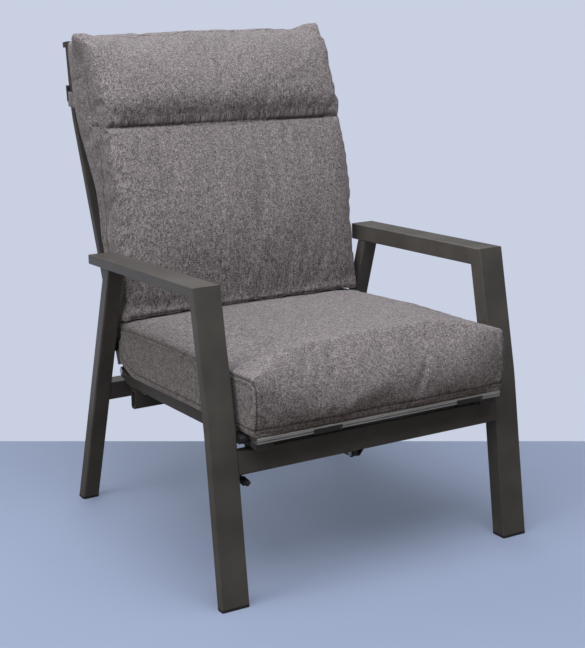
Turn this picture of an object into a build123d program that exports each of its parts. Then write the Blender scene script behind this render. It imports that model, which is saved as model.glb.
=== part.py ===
from build123d import *
from math import atan2, cos, degrees, hypot, pi, radians, sin, tan
import os

os.makedirs("parts", exist_ok=True)

# A reclining lounge chair for a patio. Two welded aluminium side frames and two cross rails
# stand on the floor. A seat frame slides forward on them while a hinged back frame tilts.
# X runs across the chair with +X at the sitter's left hand, -Y is the front, +Z is up.
# The origin is on the floor under the middle of the chair's box. In the side view, places
# are given as y behind the armrests' front edge and z above the floor.

# Overall sizes
overall_width = 724.0
arm_height = 600.0
arm_length = 474.0
arm_fall = 14.0
cushion_reach = 104.0
back_reach = 760.0
back_height = 1017.0

# Side frames: a wedge-shaped tube, deep at its inner side and thin at its outer side
tube_width = 58.0
tube_inner_depth = 37.2
tube_outer_depth = 19.6
tube_wall = 2.0
tube_corner = 2.4
knee_height = 340.0
knee_lead = 49.0
knee_radius = 600.0
foot_lead = 90.6
rear_leg_width = 37.0
rear_leg_depth = 28.5
rear_leg_corner = 4.0
rear_foot_reach = 602.4
rear_leg_lean = 18.0
foot_height = 5.0
plug_length = 16.0
arm_cap_thickness = 3.0

# Cross rails of the base
front_rail_height = 46.0
front_rail_depth = 28.0
front_rail_centre_height = 270.0
rear_rail_height = 44.0
rear_rail_depth = 26.0
rear_rail_centre_height = 271.0
cross_rail_corner = 3.5

# Extruded rail of the seat and the back, with a lip, an outer slot and an inner slot
rail_side_gap = 19.0
rail_width = 42.0
rail_depth = 28.0
lip_depth = 6.5
slot_height = 2.5
outer_slot_depth = 8.0
inner_slot_depth = 6.0
rail_wall = 2.0
rail_body_inset = 4.0
rail_chamfer = 4.0

# Seat frame
seat_front_reach = 95.0
seat_rail_base_height = 296.5
seat_slope = 1.2
seat_bend_setback = 24.75
seat_bend_radius = 52.0
seat_end_rise = 38.0
bar_depth = 22.0
bar_height = 12.0
bar_slot_height = 2.0
bar_slot_depth = 5.0
bar_corner = 2.0
end_cap_length = 11.0
end_cap_round = 5.0
cross_tube_setback = 51.5
cross_tube_depth = 20.0
cross_tube_height = 41.0
cross_tube_corner = 6.0
cross_tab_length = 20.0
cross_tab_thickness = 3.0
bolt_radius = 3.0
bolt_head_radius = 5.5
bolt_head_height = 4.0
sling_thickness = 1.2
sling_margin = 14.0

# Back frame
back_lean = 21.3
back_upper_lean = 8.0
back_bend_height = 860.0
back_bend_radius = 260.0
hinge_height = 312.0
hinge_standoff = 16.0
lower_bar_centre_height = 372.0
lower_bar_height = 25.0
lower_bar_depth = 14.0

# Recline: pivot plates on the rear legs, hinge pins between the seat and the back
recline_angle = 30.0
pivot_height = 405.0
pivot_plate_thickness = 5.0
pivot_plate_gap = 1.5
pivot_plate_radius = 16.0
pivot_pad_length = 64.0
pivot_shank_radius = 6.0
pivot_head_radius = 9.0
pivot_head_thickness = 1.9
pivot_thread_radius = 4.0
pivot_thread_length = 12.0
insert_radius = 7.0
insert_length = 9.0
hinge_pin_radius = 4.0
hinge_head_radius = 6.5
hinge_head_thickness = 2.0
tongue_thickness = 12.0
tongue_radius = 9.0
fork_radius = 9.5
fork_flange = 2.5
fork_plug_length = 5.0
hinge_plug_length = 28.0

# Clearances
running_clearance = 0.05
slide_clearance = 0.25
arm_clearance = 0.3
slot_clearance = 0.3
plug_clearance = 0.2
soft_gap = 0.3
washer_clearance = 0.1

# Front guides and glide pads
guide_reach = -45.0
guide_length = 44.0
guide_height = 15.0
guide_screw_radius = 2.5
guide_screw_head_radius = 5.0
guide_screw_head_depth = 2.6
guide_screw_length = 30.0
pad_length = 18.0
pad_width = 26.0
pad_setback = 5.0

# Gas spring with its release head
spring_front_reach = 12.0
spring_height = 216.0
spring_cheek_thickness = 3.0
spring_cheek_radius = 9.0
spring_eye_radius = 8.0
spring_eye_width = 12.0
spring_pin_radius = 4.0
spring_pin_head_radius = 6.5
spring_pin_head_thickness = 2.5
spring_side_gap = 0.2
release_head_radius = 11.0
release_head_length = 28.0
rod_radius = 5.0
rod_exposed = 66.0
rod_hidden = 26.0
cylinder_radius = 14.0
hanger_reach = 74.0
cylinder_corner = 3.0
cylinder_neck_radius = 5.0
cylinder_neck_length = 14.0
hanger_thickness = 4.0
hanger_rise = 24.0
valve_pin_radius = 2.0
valve_pin_length = 15.0
valve_pin_out = 6.0
valve_stroke = 3.6

# Release lever under the right-hand end of the front rail, on a shaft that reaches the spring
lever_side_gap = 16.0
lever_thickness = 4.0
lever_pivot_reach = -6.0
lever_pivot_height = 236.0
lever_hub_radius = 7.0
lever_tip_reach = -60.0
lever_tip_height = 228.0
lever_tip_radius = 4.0
lever_pad_width = 14.0
bracket_thickness = 3.0
shaft_radius = 3.0
arm_hub_radius = 6.0
arm_tip_radius = 3.0
arm_thickness = 6.0

# Seat cushion
seat_cushion_side_gap = 8.0
seat_cushion_end = 497.0
seat_front_height = 122.0
seat_rear_height = 113.0
seat_crown = 18.0
seat_edge_crown_share = 0.5
seat_edge_drop = 6.0
seat_edge_inset = 5.0
seat_face_crown = 9.0
seat_edge_round = 9.0
seat_draw = 4.0
seat_rear_cut = 58.0
seat_rear_cut_rise = 24.0
strap_width = 63.0
strap_thickness = 1.4
strap_gap = 0.3
strap_place_shares = (-0.455, 0.73)

# Back cushion
back_cushion_side_gap = 8.0
back_cushion_bottom = 441.0
back_cushion_front = 440.0
back_cushion_rear = 512.0
back_channel_height = 832.0
back_channel_front = 509.0
back_cushion_top_height = 1022.0
back_top_front = 572.0
back_top_crown = 14.0
back_hollow_height = 690.0
back_hollow_gap = 46.0
back_leave_height = 803.0
back_front_crown = 27.0
head_front_crown = 21.0
back_rear_crown = 16.0
back_edge_crown_share = 0.6
back_edge_round = 18.0
back_edge_inset = 30.0
back_draw = 5.0
back_top_drop_share = 0.25
headband_height = 885.0
headband_width = 36.0
headband_thickness = 1.6
headband_wrap = 12.0
tab_height = 867.0
tab_width = 34.0
tab_thickness = 1.6
tab_reach = 40.0

# Places worked out from the sizes above
overrun = tube_width
half_width = overall_width / 2
inner_x = half_width - tube_width
frame_half_width = inner_x - rail_side_gap
seat_cushion_half_width = inner_x - seat_cushion_side_gap
back_cushion_half_width = inner_x - back_cushion_side_gap
lever_x = lever_side_gap - inner_x
arm_front_y = (cushion_reach - back_reach) / 2
slope = radians(seat_slope)
lean = radians(back_lean)
upper_lean = radians(back_upper_lean)
end_rise = radians(seat_end_rise)
leg_lean = radians(rear_leg_lean)


def side_plane(x):
    """Side view at x: first coordinate back from the armrest's front edge, second up."""
    return Plane(origin=(x, arm_front_y, 0), x_dir=(0, 1, 0), z_dir=(1, 0, 0))


def tilted_plane(x, place, angle):
    """Side view with its origin at a place and its first axis raised by an angle in radians."""
    return Plane(
        origin=(x, arm_front_y + place[0], place[1]),
        x_dir=(0, cos(angle), sin(angle)),
        z_dir=(1, 0, 0),
    )


def moved(place, angle, along, across=0):
    """A side-view place moved along a direction and across it, to the left of that direction."""
    return (
        place[0] + along * cos(angle) - across * sin(angle),
        place[1] + along * sin(angle) + across * cos(angle),
    )


def direction(start, end):
    """The angle of the line from one side-view place to another."""
    return atan2(end[1] - start[1], end[0] - start[0])


def mirrored(piece):
    """The same piece for the other side of the chair."""
    with BuildPart() as twin:
        mirror(piece.part, about=Plane.YZ)
    return twin


def paired(piece):
    """One node with the piece and its mirror image."""
    with BuildPart() as pair:
        add(piece.part)
        mirror(piece.part, about=Plane.YZ)
    return pair


# Side frames. The armrest and the front leg share one section and meet in a mitre.
arm_front = (0.0, arm_height)
arm_end = (arm_length, arm_height - arm_fall)
knee = (-knee_lead, knee_height)
foot = (-foot_lead, 0.0)
arm_angle = direction(arm_front, arm_end)
upper_leg_angle = direction(knee, arm_front)
lower_leg_angle = direction(foot, knee)


def wedge(inset):
    """The wedge section, with its face on the first axis and its depth along the second."""
    Polygon(
        (inner_x, 0),
        (half_width, 0),
        (half_width, tube_outer_depth),
        (inner_x, tube_inner_depth),
        align=None,
    )
    fillet(vertices(), radius=tube_corner)
    if inset:
        offset(amount=-inset, mode=Mode.REPLACE)


def wedge_tube():
    """The wedge section with its hollow."""
    wedge(0)
    offset(amount=-tube_wall, mode=Mode.SUBTRACT)


mitre_angle = (arm_angle + upper_leg_angle + pi) / 2
mitre = Plane(
    origin=(0, arm_front_y + arm_front[0], arm_front[1]),
    x_dir=(1, 0, 0),
    z_dir=(0, sin(mitre_angle), -cos(mitre_angle)),
)
arm_start = moved(arm_front, arm_angle, -overrun)
arm_tube_length = hypot(arm_length, arm_fall) + overrun
arm_section = Plane(
    origin=(0, arm_front_y + arm_start[0], arm_start[1]),
    x_dir=(1, 0, 0),
    z_dir=(0, cos(arm_angle), sin(arm_angle)),
)
with BuildPart() as left_armrest:
    with BuildSketch(arm_section):
        wedge_tube()
    extrude(amount=arm_tube_length)
    split(bisect_by=mitre, keep=Keep.TOP if mitre.z_dir.Y > 0 else Keep.BOTTOM)

leg_start = moved(foot, lower_leg_angle, -overrun)
leg_end = moved(arm_front, upper_leg_angle, overrun)
with BuildLine(side_plane(0)) as leg_path:
    FilletPolyline(leg_start, knee, leg_end, radius=knee_radius)
leg_section = Plane(origin=leg_path.line @ 0, x_dir=(1, 0, 0), z_dir=leg_path.line % 0)
with BuildPart() as left_front_leg:
    with BuildSketch(leg_section):
        wedge_tube()
    sweep(path=leg_path.line)
    split(bisect_by=mitre, keep=Keep.BOTTOM if mitre.z_dir.Y > 0 else Keep.TOP)
    split(bisect_by=Plane.XY.offset(foot_height), keep=Keep.TOP)

# The armrest's rear end is closed by a thin cap with a plug
arm_end_section = Plane(
    origin=(0, arm_front_y + arm_end[0], arm_end[1]),
    x_dir=(1, 0, 0),
    z_dir=(0, cos(arm_angle), sin(arm_angle)),
)
with BuildPart() as left_arm_cap:
    with BuildSketch(arm_end_section):
        wedge(0)
    extrude(amount=arm_cap_thickness)
    with BuildSketch(arm_end_section):
        wedge(tube_wall + plug_clearance)
    extrude(amount=-plug_length)

# Feet close the lower ends of the legs
with BuildPart() as left_front_foot:
    with BuildSketch(leg_section):
        wedge(0)
    extrude(amount=overrun * 2)
    split(bisect_by=Plane.XY.offset(foot_height), keep=Keep.BOTTOM)
    split(bisect_by=Plane.XY, keep=Keep.TOP)
with BuildPart() as front_foot_plug:
    with BuildSketch(leg_section):
        wedge(tube_wall + plug_clearance)
    extrude(amount=overrun + foot_height + plug_length)
    split(bisect_by=Plane.XY.offset(foot_height), keep=Keep.TOP)
with left_front_foot:
    add(front_foot_plug.part)

# Rear legs lean back from the armrest's underside to the floor
rear_leg_angle = pi / 2 + leg_lean
rear_leg_x = inner_x + rear_leg_width / 2
rear_foot = moved((rear_foot_reach, 0), rear_leg_angle, 0, -rear_leg_depth / 2)
rear_start = moved(rear_foot, rear_leg_angle, -overrun)
rear_section = Plane(
    origin=(rear_leg_x, arm_front_y + rear_start[0], rear_start[1]),
    x_dir=(1, 0, 0),
    z_dir=(0, cos(rear_leg_angle), sin(rear_leg_angle)),
)


def rear_tube(inset):
    """The rear leg's section, made smaller by an inset."""
    RectangleRounded(rear_leg_width - 2 * inset, rear_leg_depth - 2 * inset, rear_leg_corner - inset)


underside_run = Vector(0, cos(arm_angle), sin(arm_angle))
underside_across = Vector(
    tube_width,
    -sin(arm_angle) * (tube_inner_depth - tube_outer_depth),
    cos(arm_angle) * (tube_inner_depth - tube_outer_depth),
)
underside_place = moved(arm_front, arm_angle, 0, -tube_inner_depth)
underside = Plane(
    origin=(inner_x, arm_front_y + underside_place[0], underside_place[1]),
    x_dir=underside_run,
    z_dir=underside_across.cross(underside_run),
)


def leg_centre(level):
    """How far back the rear leg's centre line is at a level."""
    return rear_foot[0] - (level - rear_foot[1]) * tan(leg_lean)


pivot = (leg_centre(pivot_height), pivot_height)
with BuildPart() as left_rear_leg:
    with BuildSketch(rear_section):
        rear_tube(0)
        offset(amount=-tube_wall, mode=Mode.SUBTRACT)
    extrude(amount=overrun + arm_height)
    split(bisect_by=underside, keep=Keep.BOTTOM if underside.z_dir.Z > 0 else Keep.TOP)
    split(bisect_by=Plane.XY.offset(foot_height), keep=Keep.TOP)
    with BuildSketch(side_plane(inner_x)):
        with Locations(pivot):
            Circle(pivot_thread_radius + running_clearance)
    extrude(amount=tube_wall * 2, mode=Mode.SUBTRACT)
with BuildPart() as left_rear_foot:
    with BuildSketch(rear_section):
        rear_tube(0)
    extrude(amount=overrun * 2)
    split(bisect_by=Plane.XY.offset(foot_height), keep=Keep.BOTTOM)
    split(bisect_by=Plane.XY, keep=Keep.TOP)
with BuildPart() as rear_foot_plug:
    with BuildSketch(rear_section):
        rear_tube(tube_wall + plug_clearance)
    extrude(amount=overrun + foot_height + plug_length)
    split(bisect_by=Plane.XY.offset(foot_height), keep=Keep.TOP)
with left_rear_foot:
    add(rear_foot_plug.part)

# Cross rails of the base. The front rail lies flush with the legs' faces.
front_rail_face = moved(foot, lower_leg_angle, front_rail_centre_height / sin(lower_leg_angle))
front_rail_centre = moved(front_rail_face, lower_leg_angle, 0, -front_rail_depth / 2)
rear_rail_centre = (leg_centre(rear_rail_centre_height), rear_rail_centre_height)


def cross_rail(centre, angle, height, depth):
    """A rounded tube between the side frames, standing along an angle in the side view."""
    with BuildPart() as rail:
        with BuildSketch(side_plane(-inner_x)):
            with Locations(centre):
                RectangleRounded(height, depth, cross_rail_corner, rotation=degrees(angle))
                RectangleRounded(
                    height - 2 * tube_wall,
                    depth - 2 * tube_wall,
                    cross_rail_corner - tube_wall,
                    rotation=degrees(angle),
                    mode=Mode.SUBTRACT,
                )
        extrude(amount=2 * inner_x)
    return rail


front_rail = cross_rail(front_rail_centre, lower_leg_angle, front_rail_height, front_rail_depth)
rear_rail = cross_rail(rear_rail_centre, rear_leg_angle, rear_rail_height, rear_rail_depth)

# Back line, from the top rear corner down to the hinge
back_top = (back_reach, back_height)
back_angle = pi / 2 - lean
upper_angle = pi / 2 - upper_lean
back_bend = moved(back_top, upper_angle, -(back_height - back_bend_height) / cos(upper_lean))
hinge_base = moved(back_bend, back_angle, -(back_bend_height - hinge_height) / cos(lean))
hinge_shift = rail_depth / 2 * sin(lean) / cos(lean)
hinge = moved(hinge_base, back_angle, -hinge_shift, rail_depth / 2)

# Recline geometry: the hinge pins swing about the pivot and carry the seat forward
swing_radius = hypot(hinge[0] - pivot[0], hinge[1] - pivot[1])
swing_start = atan2(hinge[0] - pivot[0], pivot[1] - hinge[1])
swing = radians(recline_angle)
seat_travel = swing_radius * (sin(swing_start) + sin(swing - swing_start)) / cos(slope)
pin_drop = swing_radius * (1 - cos(swing_start)) + seat_travel / 2 * sin(slope) + slot_clearance

# Seat line: the rails' underside, falling to the rear and bent up to the hinge
seat_front = (-seat_front_reach, seat_rail_base_height)
seat_bend_reach = hinge[0] - seat_bend_setback
cross_tube_reach = seat_bend_reach - cross_tube_setback
seat_bend = moved(seat_front, -slope, (seat_bend_reach + seat_front_reach) / cos(slope))
hinge_run = (hinge[0] - seat_bend[0]) * cos(end_rise) + (hinge[1] - seat_bend[1]) * sin(end_rise)
hinge_side = (hinge[1] - seat_bend[1]) * cos(end_rise) - (hinge[0] - seat_bend[0]) * sin(end_rise)
seat_end = moved(seat_bend, end_rise, hinge_run - hinge_standoff)
rail_front = moved(seat_front, -slope, bar_depth)


def rail_section(inset=0):
    """The extruded rail's section: width on the first axis, depth toward the sitter second."""
    left = frame_half_width - rail_width
    body = frame_half_width - rail_body_inset
    slot_top = rail_depth - lip_depth
    slot_bottom = slot_top - slot_height
    Polygon(
        (left, 0),
        (body - rail_chamfer, 0),
        (body, rail_chamfer),
        (body, slot_bottom),
        (body - outer_slot_depth, slot_bottom),
        (body - outer_slot_depth, slot_top),
        (frame_half_width, slot_top),
        (frame_half_width, rail_depth),
        (left, rail_depth),
        (left, slot_top),
        (left + inner_slot_depth, slot_top),
        (left + inner_slot_depth, slot_bottom),
        (left, slot_bottom),
        align=None,
    )
    Polygon(
        (left + rail_wall, rail_wall),
        (body - rail_chamfer, rail_wall),
        (body - rail_wall, rail_chamfer),
        (body - rail_wall, slot_bottom - rail_wall),
        (left + rail_wall, slot_bottom - rail_wall),
        align=None,
        mode=Mode.SUBTRACT,
    )


cell_left = frame_half_width - rail_width + rail_wall
cell_right = frame_half_width - rail_body_inset - rail_wall
cell_top = rail_depth - lip_depth - slot_height - rail_wall
rail_mid_x = frame_half_width - rail_width / 2

with BuildLine(side_plane(0)) as seat_path:
    FilletPolyline(seat_end, seat_bend, rail_front, radius=seat_bend_radius)
seat_rail_section = Plane(
    origin=seat_path.line @ 0, x_dir=(1, 0, 0), z_dir=seat_path.line % 0
)
with BuildPart() as left_seat_rail:
    with BuildSketch(seat_rail_section):
        rail_section()
    sweep(path=seat_path.line)

back_rail_top = moved(back_top, upper_angle, -bar_height)
back_rail_end = moved(hinge, back_angle, hinge_standoff, -rail_depth / 2)
with BuildLine(side_plane(0)) as back_path:
    FilletPolyline(back_rail_top, back_bend, back_rail_end, radius=back_bend_radius)
back_rail_section = Plane(
    origin=back_path.line @ 0, x_dir=(1, 0, 0), z_dir=back_path.line % 0
)
with BuildPart() as left_back_rail:
    with BuildSketch(back_rail_section):
        rail_section()
    sweep(path=back_path.line)


def seat_frame(x):
    """Side view along the seat rails: from the seat's front, and up from their underside."""
    return tilted_plane(x, seat_front, -slope)


def back_frame(x):
    """Side view along the back rails: up from the hinge pin, and forward from it."""
    return tilted_plane(x, hinge, back_angle)


# The front bar and the back's top bar close the frames with one slotted section
def slotted_bar(plane, depth):
    """A bar over the whole width with rounded ends and a slot along its outer face."""
    with BuildPart() as bar:
        with BuildSketch(plane):
            RectangleRounded(depth, bar_height, bar_corner, align=(Align.MIN, Align.MIN))
        extrude(amount=2 * frame_half_width)
        with BuildSketch(plane):
            with Locations((0, bar_height - lip_depth - bar_slot_height)):
                Rectangle(bar_slot_depth, bar_slot_height, align=(Align.MIN, Align.MIN))
        extrude(amount=2 * frame_half_width, mode=Mode.SUBTRACT)
    return bar


front_bar_base = moved(seat_front, -slope, 0, rail_depth - bar_height)
front_bar = slotted_bar(tilted_plane(-frame_half_width, front_bar_base, -slope), bar_depth)
with BuildPart() as back_top_bar:
    with BuildSketch(tilted_plane(-frame_half_width, back_rail_top, upper_angle)):
        Rectangle(bar_height, rail_depth, align=(Align.MIN, Align.MIN))
    extrude(amount=2 * frame_half_width)
    fillet(back_top_bar.edges().filter_by(Axis.X), radius=bar_corner)

# Plastic caps close the bodies of the seat rails under the ends of the front bar
cap_top = rail_depth - bar_height
with BuildPart() as left_seat_cap:
    with BuildSketch(seat_frame(cell_left - rail_wall)):
        with Locations((bar_depth - end_cap_length, 0)):
            Rectangle(end_cap_length, cap_top, align=(Align.MIN, Align.MIN))
    extrude(amount=rail_width - rail_body_inset)
    fillet(
        left_seat_cap.faces().sort_by(Axis.X)[-1].edges().sort_by(Axis.Z)[0],
        radius=end_cap_round,
    )
    with BuildSketch(seat_frame(cell_left + plug_clearance)):
        with Locations((bar_depth, rail_wall + plug_clearance)):
            Rectangle(
                plug_length,
                cap_top - 2 * (rail_wall + plug_clearance),
                align=(Align.MIN, Align.MIN),
            )
    extrude(amount=cell_right - cell_left - rail_chamfer - 2 * plug_clearance)

# A cross tube under the rear of the seat rails, bolted through its tabs
cross_s = (cross_tube_reach + seat_front_reach) / cos(slope)
bolt_s = cross_s - cross_tab_length / 2
bolt_plane = Plane(
    origin=seat_frame(rail_mid_x).from_local_coords((bolt_s, -cross_tab_thickness, 0)),
    x_dir=(1, 0, 0),
    z_dir=seat_frame(rail_mid_x).y_dir,
)
with BuildPart() as cross_tube:
    with BuildSketch(seat_frame(-frame_half_width)):
        with Locations((cross_s + cross_tube_depth / 2, -cross_tube_height / 2)):
            RectangleRounded(cross_tube_depth, cross_tube_height, cross_tube_corner)
            RectangleRounded(
                cross_tube_depth - 2 * tube_wall,
                cross_tube_height - 2 * tube_wall,
                cross_tube_corner - tube_wall,
                mode=Mode.SUBTRACT,
            )
    extrude(amount=2 * frame_half_width)
with BuildPart() as left_cross_tab:
    with BuildSketch(seat_frame(cell_left)):
        with Locations((cross_s + cross_tube_corner, 0)):
            Rectangle(
                cross_tab_length + cross_tube_corner,
                cross_tab_thickness,
                align=(Align.MAX, Align.MAX),
            )
    extrude(amount=cell_right - cell_left - rail_chamfer)
    with BuildSketch(bolt_plane):
        Circle(bolt_radius + running_clearance)
    extrude(amount=cross_tab_thickness, mode=Mode.SUBTRACT)
with cross_tube:
    add(left_cross_tab.part)
    mirror(left_cross_tab.part, about=Plane.YZ)
with BuildPart() as left_cross_bolt:
    with BuildSketch(bolt_plane):
        RegularPolygon(bolt_head_radius, 6)
    extrude(amount=-bolt_head_height)
    with BuildSketch(bolt_plane):
        Circle(bolt_radius)
    extrude(amount=cross_tab_thickness + rail_wall + bolt_head_height)
with left_seat_rail:
    with BuildSketch(bolt_plane):
        Circle(bolt_radius + running_clearance)
    extrude(amount=cross_tab_thickness + rail_wall * 2, mode=Mode.SUBTRACT)

# Slings: woven sheets held in the rails' inner slots
sling_half_width = frame_half_width - rail_width + inner_slot_depth - soft_gap
sling_low = rail_depth - lip_depth - slot_height / 2 - sling_thickness / 2
with BuildPart() as seat_sling:
    with BuildSketch(seat_frame(-sling_half_width)):
        with Locations((bar_depth + sling_margin, sling_low)):
            Rectangle(
                cross_s - bar_depth - sling_margin,
                sling_thickness,
                align=(Align.MIN, Align.MIN),
            )
    extrude(amount=2 * sling_half_width)
back_sling_start = moved(back_rail_top, upper_angle, -sling_margin, 0)
back_sling_end = moved(hinge, back_angle, lower_bar_centre_height - hinge_height, -rail_depth / 2)
with BuildLine(side_plane(0)) as sling_path:
    FilletPolyline(back_sling_start, back_bend, back_sling_end, radius=back_bend_radius)
sling_section = Plane(origin=sling_path.line @ 0, x_dir=(1, 0, 0), z_dir=sling_path.line % 0)
with BuildPart() as back_sling:
    with BuildSketch(sling_section):
        with Locations((0, sling_low + sling_thickness / 2)):
            Rectangle(2 * sling_half_width, sling_thickness)
    sweep(path=sling_path.line)

# A lower bar ties the back rails together behind the sling
lower_bar_run = (lower_bar_centre_height - hinge_height) / cos(lean)
with BuildPart() as back_lower_bar:
    with BuildSketch(back_frame(-(cell_left - rail_wall))):
        with Locations((lower_bar_run, -rail_depth / 2 + rail_wall + lower_bar_depth / 2)):
            RectangleRounded(lower_bar_height, lower_bar_depth, cross_rail_corner)
            RectangleRounded(
                lower_bar_height - 2 * tube_wall,
                lower_bar_depth - 2 * tube_wall,
                cross_rail_corner - tube_wall,
                mode=Mode.SUBTRACT,
            )
    extrude(amount=2 * (cell_left - rail_wall))

# Pivot plates: a pad on the back rail's outer side and a plate that reaches the rear leg
plate_outer = inner_x - pivot_plate_gap
plate_inner = plate_outer - pivot_plate_thickness
rail_outer = frame_half_width - rail_body_inset
pivot_run = (pivot[1] - hinge[1]) * sin(back_angle) + (pivot[0] - hinge[0]) * cos(back_angle)
pivot_rise = (pivot[1] - hinge[1]) * cos(back_angle) - (pivot[0] - hinge[0]) * sin(back_angle)
pivot_in_back = (pivot_run, pivot_rise)
pad_bottom = -rail_depth / 2 + rail_wall
pad_top = rail_depth / 2 - lip_depth - slot_height - rail_wall
with BuildPart() as left_pivot_plate:
    with BuildSketch(back_frame(plate_inner)):
        with Locations((pivot_run, (pad_bottom + pad_top) / 2)):
            Rectangle(pivot_pad_length, pad_top - pad_bottom)
        with Locations(pivot_in_back):
            Circle(pivot_plate_radius)
        make_hull()
    extrude(amount=pivot_plate_thickness)
    with BuildSketch(back_frame(rail_outer)):
        with Locations((pivot_run, (pad_bottom + pad_top) / 2)):
            Rectangle(pivot_pad_length, pad_top - pad_bottom)
    extrude(amount=plate_inner - rail_outer)
    with BuildSketch(side_plane(plate_inner)):
        with Locations(pivot):
            Circle(pivot_shank_radius + running_clearance)
    extrude(amount=pivot_plate_thickness, mode=Mode.SUBTRACT)
    with BuildSketch(side_plane(plate_inner)):
        with Locations(pivot):
            Circle(pivot_head_radius + plug_clearance)
    extrude(amount=pivot_head_thickness + plug_clearance, mode=Mode.SUBTRACT)

with BuildPart() as left_pivot_bolt:
    with BuildSketch(side_plane(plate_inner)):
        with Locations(pivot):
            Circle(pivot_head_radius)
    extrude(amount=pivot_head_thickness)
    with BuildSketch(side_plane(plate_inner)):
        with Locations(pivot):
            Circle(pivot_shank_radius)
    extrude(amount=inner_x - plate_inner)
    with BuildSketch(side_plane(inner_x)):
        with Locations(pivot):
            Circle(pivot_thread_radius)
    extrude(amount=pivot_thread_length)
with BuildPart() as left_pivot_washer:
    with BuildSketch(side_plane(plate_outer + washer_clearance)):
        with Locations(pivot):
            Circle(pivot_head_radius + pivot_head_thickness)
            Circle(pivot_shank_radius + running_clearance, mode=Mode.SUBTRACT)
    extrude(amount=pivot_plate_gap - 2 * washer_clearance)
with BuildPart() as left_pivot_insert:
    with BuildSketch(side_plane(inner_x + tube_wall)):
        with Locations(pivot):
            Circle(insert_radius)
            Circle(pivot_thread_radius + running_clearance, mode=Mode.SUBTRACT)
    extrude(amount=insert_length)

# Hinge between the seat and the back. The back's tongue holds the pin, and the seat's fork
# has upright slots that take up the small rise and fall of the swinging pin.
def fork_frame(x):
    """Side view along the seat rails' bent end, with its origin at the hinge pin."""
    return tilted_plane(x, hinge, end_rise)


tongue_inner = rail_mid_x - tongue_thickness / 2
tongue_outer = rail_mid_x + tongue_thickness / 2
pin_low = (-sin(end_rise + slope) * pin_drop, -cos(end_rise + slope) * pin_drop)
cheek_inner = cell_left
cheek_outer = cell_right
with BuildPart() as left_hinge_fork:
    with BuildSketch(fork_frame(cheek_inner)):
        Circle(fork_radius)
        with Locations(pin_low):
            Circle(fork_radius)
        with Locations((-hinge_standoff, -hinge_side + cell_top / 2 + rail_wall / 2)):
            Rectangle(fork_flange, cell_top, align=(Align.MIN, Align.CENTER))
        make_hull()
    extrude(amount=cheek_outer - cheek_inner)
    with BuildSketch(fork_frame(tongue_inner - plug_clearance)):
        with Locations((fork_flange - hinge_standoff, 0)):
            Rectangle(
                4 * hinge_standoff, 4 * hinge_standoff, align=(Align.MIN, Align.CENTER)
            )
    extrude(amount=tongue_thickness + 2 * plug_clearance, mode=Mode.SUBTRACT)
    with BuildSketch(fork_frame(cell_left + plug_clearance)):
        with Locations((-hinge_standoff, -hinge_side + rail_wall + plug_clearance)):
            Rectangle(
                fork_plug_length,
                cell_top - rail_wall - 2 * plug_clearance,
                align=(Align.MAX, Align.MIN),
            )
    extrude(amount=cell_right - cell_left - rail_chamfer)
    with BuildSketch(fork_frame(cheek_inner - rail_wall)):
        with Locations((pin_low[0] / 2, pin_low[1] / 2)):
            SlotCenterToCenter(
                pin_drop,
                2 * (hinge_pin_radius + slot_clearance),
                rotation=90 - degrees(end_rise + slope),
            )
    extrude(amount=2 * rail_width, mode=Mode.SUBTRACT)

with BuildPart() as left_hinge_tongue:
    with BuildSketch(back_frame(tongue_inner)):
        Circle(tongue_radius)
        with Locations((hinge_standoff, -rail_depth / 2 + rail_wall + plug_clearance)):
            Rectangle(
                rail_wall, cell_top - rail_wall - 2 * plug_clearance, align=(Align.MAX, Align.MIN)
            )
        make_hull()
    extrude(amount=tongue_thickness)
    with BuildSketch(back_frame(cell_left + plug_clearance)):
        with Locations((hinge_standoff, -rail_depth / 2 + rail_wall + plug_clearance)):
            Rectangle(
                hinge_plug_length,
                cell_top - rail_wall - 2 * plug_clearance,
                align=(Align.MIN, Align.MIN),
            )
    extrude(amount=cell_right - cell_left - rail_chamfer)
    with BuildSketch(back_frame(tongue_inner)):
        Circle(hinge_pin_radius + running_clearance)
    extrude(amount=tongue_thickness, mode=Mode.SUBTRACT)

with BuildPart() as left_hinge_pin:
    with BuildSketch(back_frame(cheek_inner - slide_clearance)):
        Circle(hinge_pin_radius)
    extrude(amount=cheek_outer - cheek_inner + 2 * slide_clearance)
    with BuildSketch(back_frame(cheek_outer + slide_clearance)):
        Circle(hinge_head_radius)
    extrude(amount=hinge_head_thickness)
    with BuildSketch(back_frame(cheek_inner - slide_clearance)):
        Circle(hinge_head_radius)
    extrude(amount=-hinge_head_thickness)

# Front guides: nylon blocks on the front legs with a tongue in the seat rails' outer slots
guide_s = (guide_reach + seat_front_reach) / cos(slope)
slot_mid = rail_depth - lip_depth - slot_height / 2
guide_inner = frame_half_width + slide_clearance
tongue_tip = frame_half_width - rail_body_inset - outer_slot_depth + slide_clearance * 2
with BuildPart() as left_seat_guide:
    with BuildSketch(seat_frame(guide_inner)):
        with Locations((guide_s, slot_mid)):
            SlotOverall(guide_length, guide_height)
    extrude(amount=inner_x - guide_inner)
    with BuildSketch(seat_frame(tongue_tip)):
        with Locations((guide_s, slot_mid)):
            Rectangle(guide_length - guide_height, slot_height - 2 * slide_clearance)
    extrude(amount=guide_inner - tongue_tip)
    with BuildSketch(seat_frame(guide_inner)):
        with Locations((guide_s, slot_mid)):
            Circle(guide_screw_radius + running_clearance)
    extrude(amount=inner_x - guide_inner, mode=Mode.SUBTRACT)
guide_plane = seat_frame(guide_inner)
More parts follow.
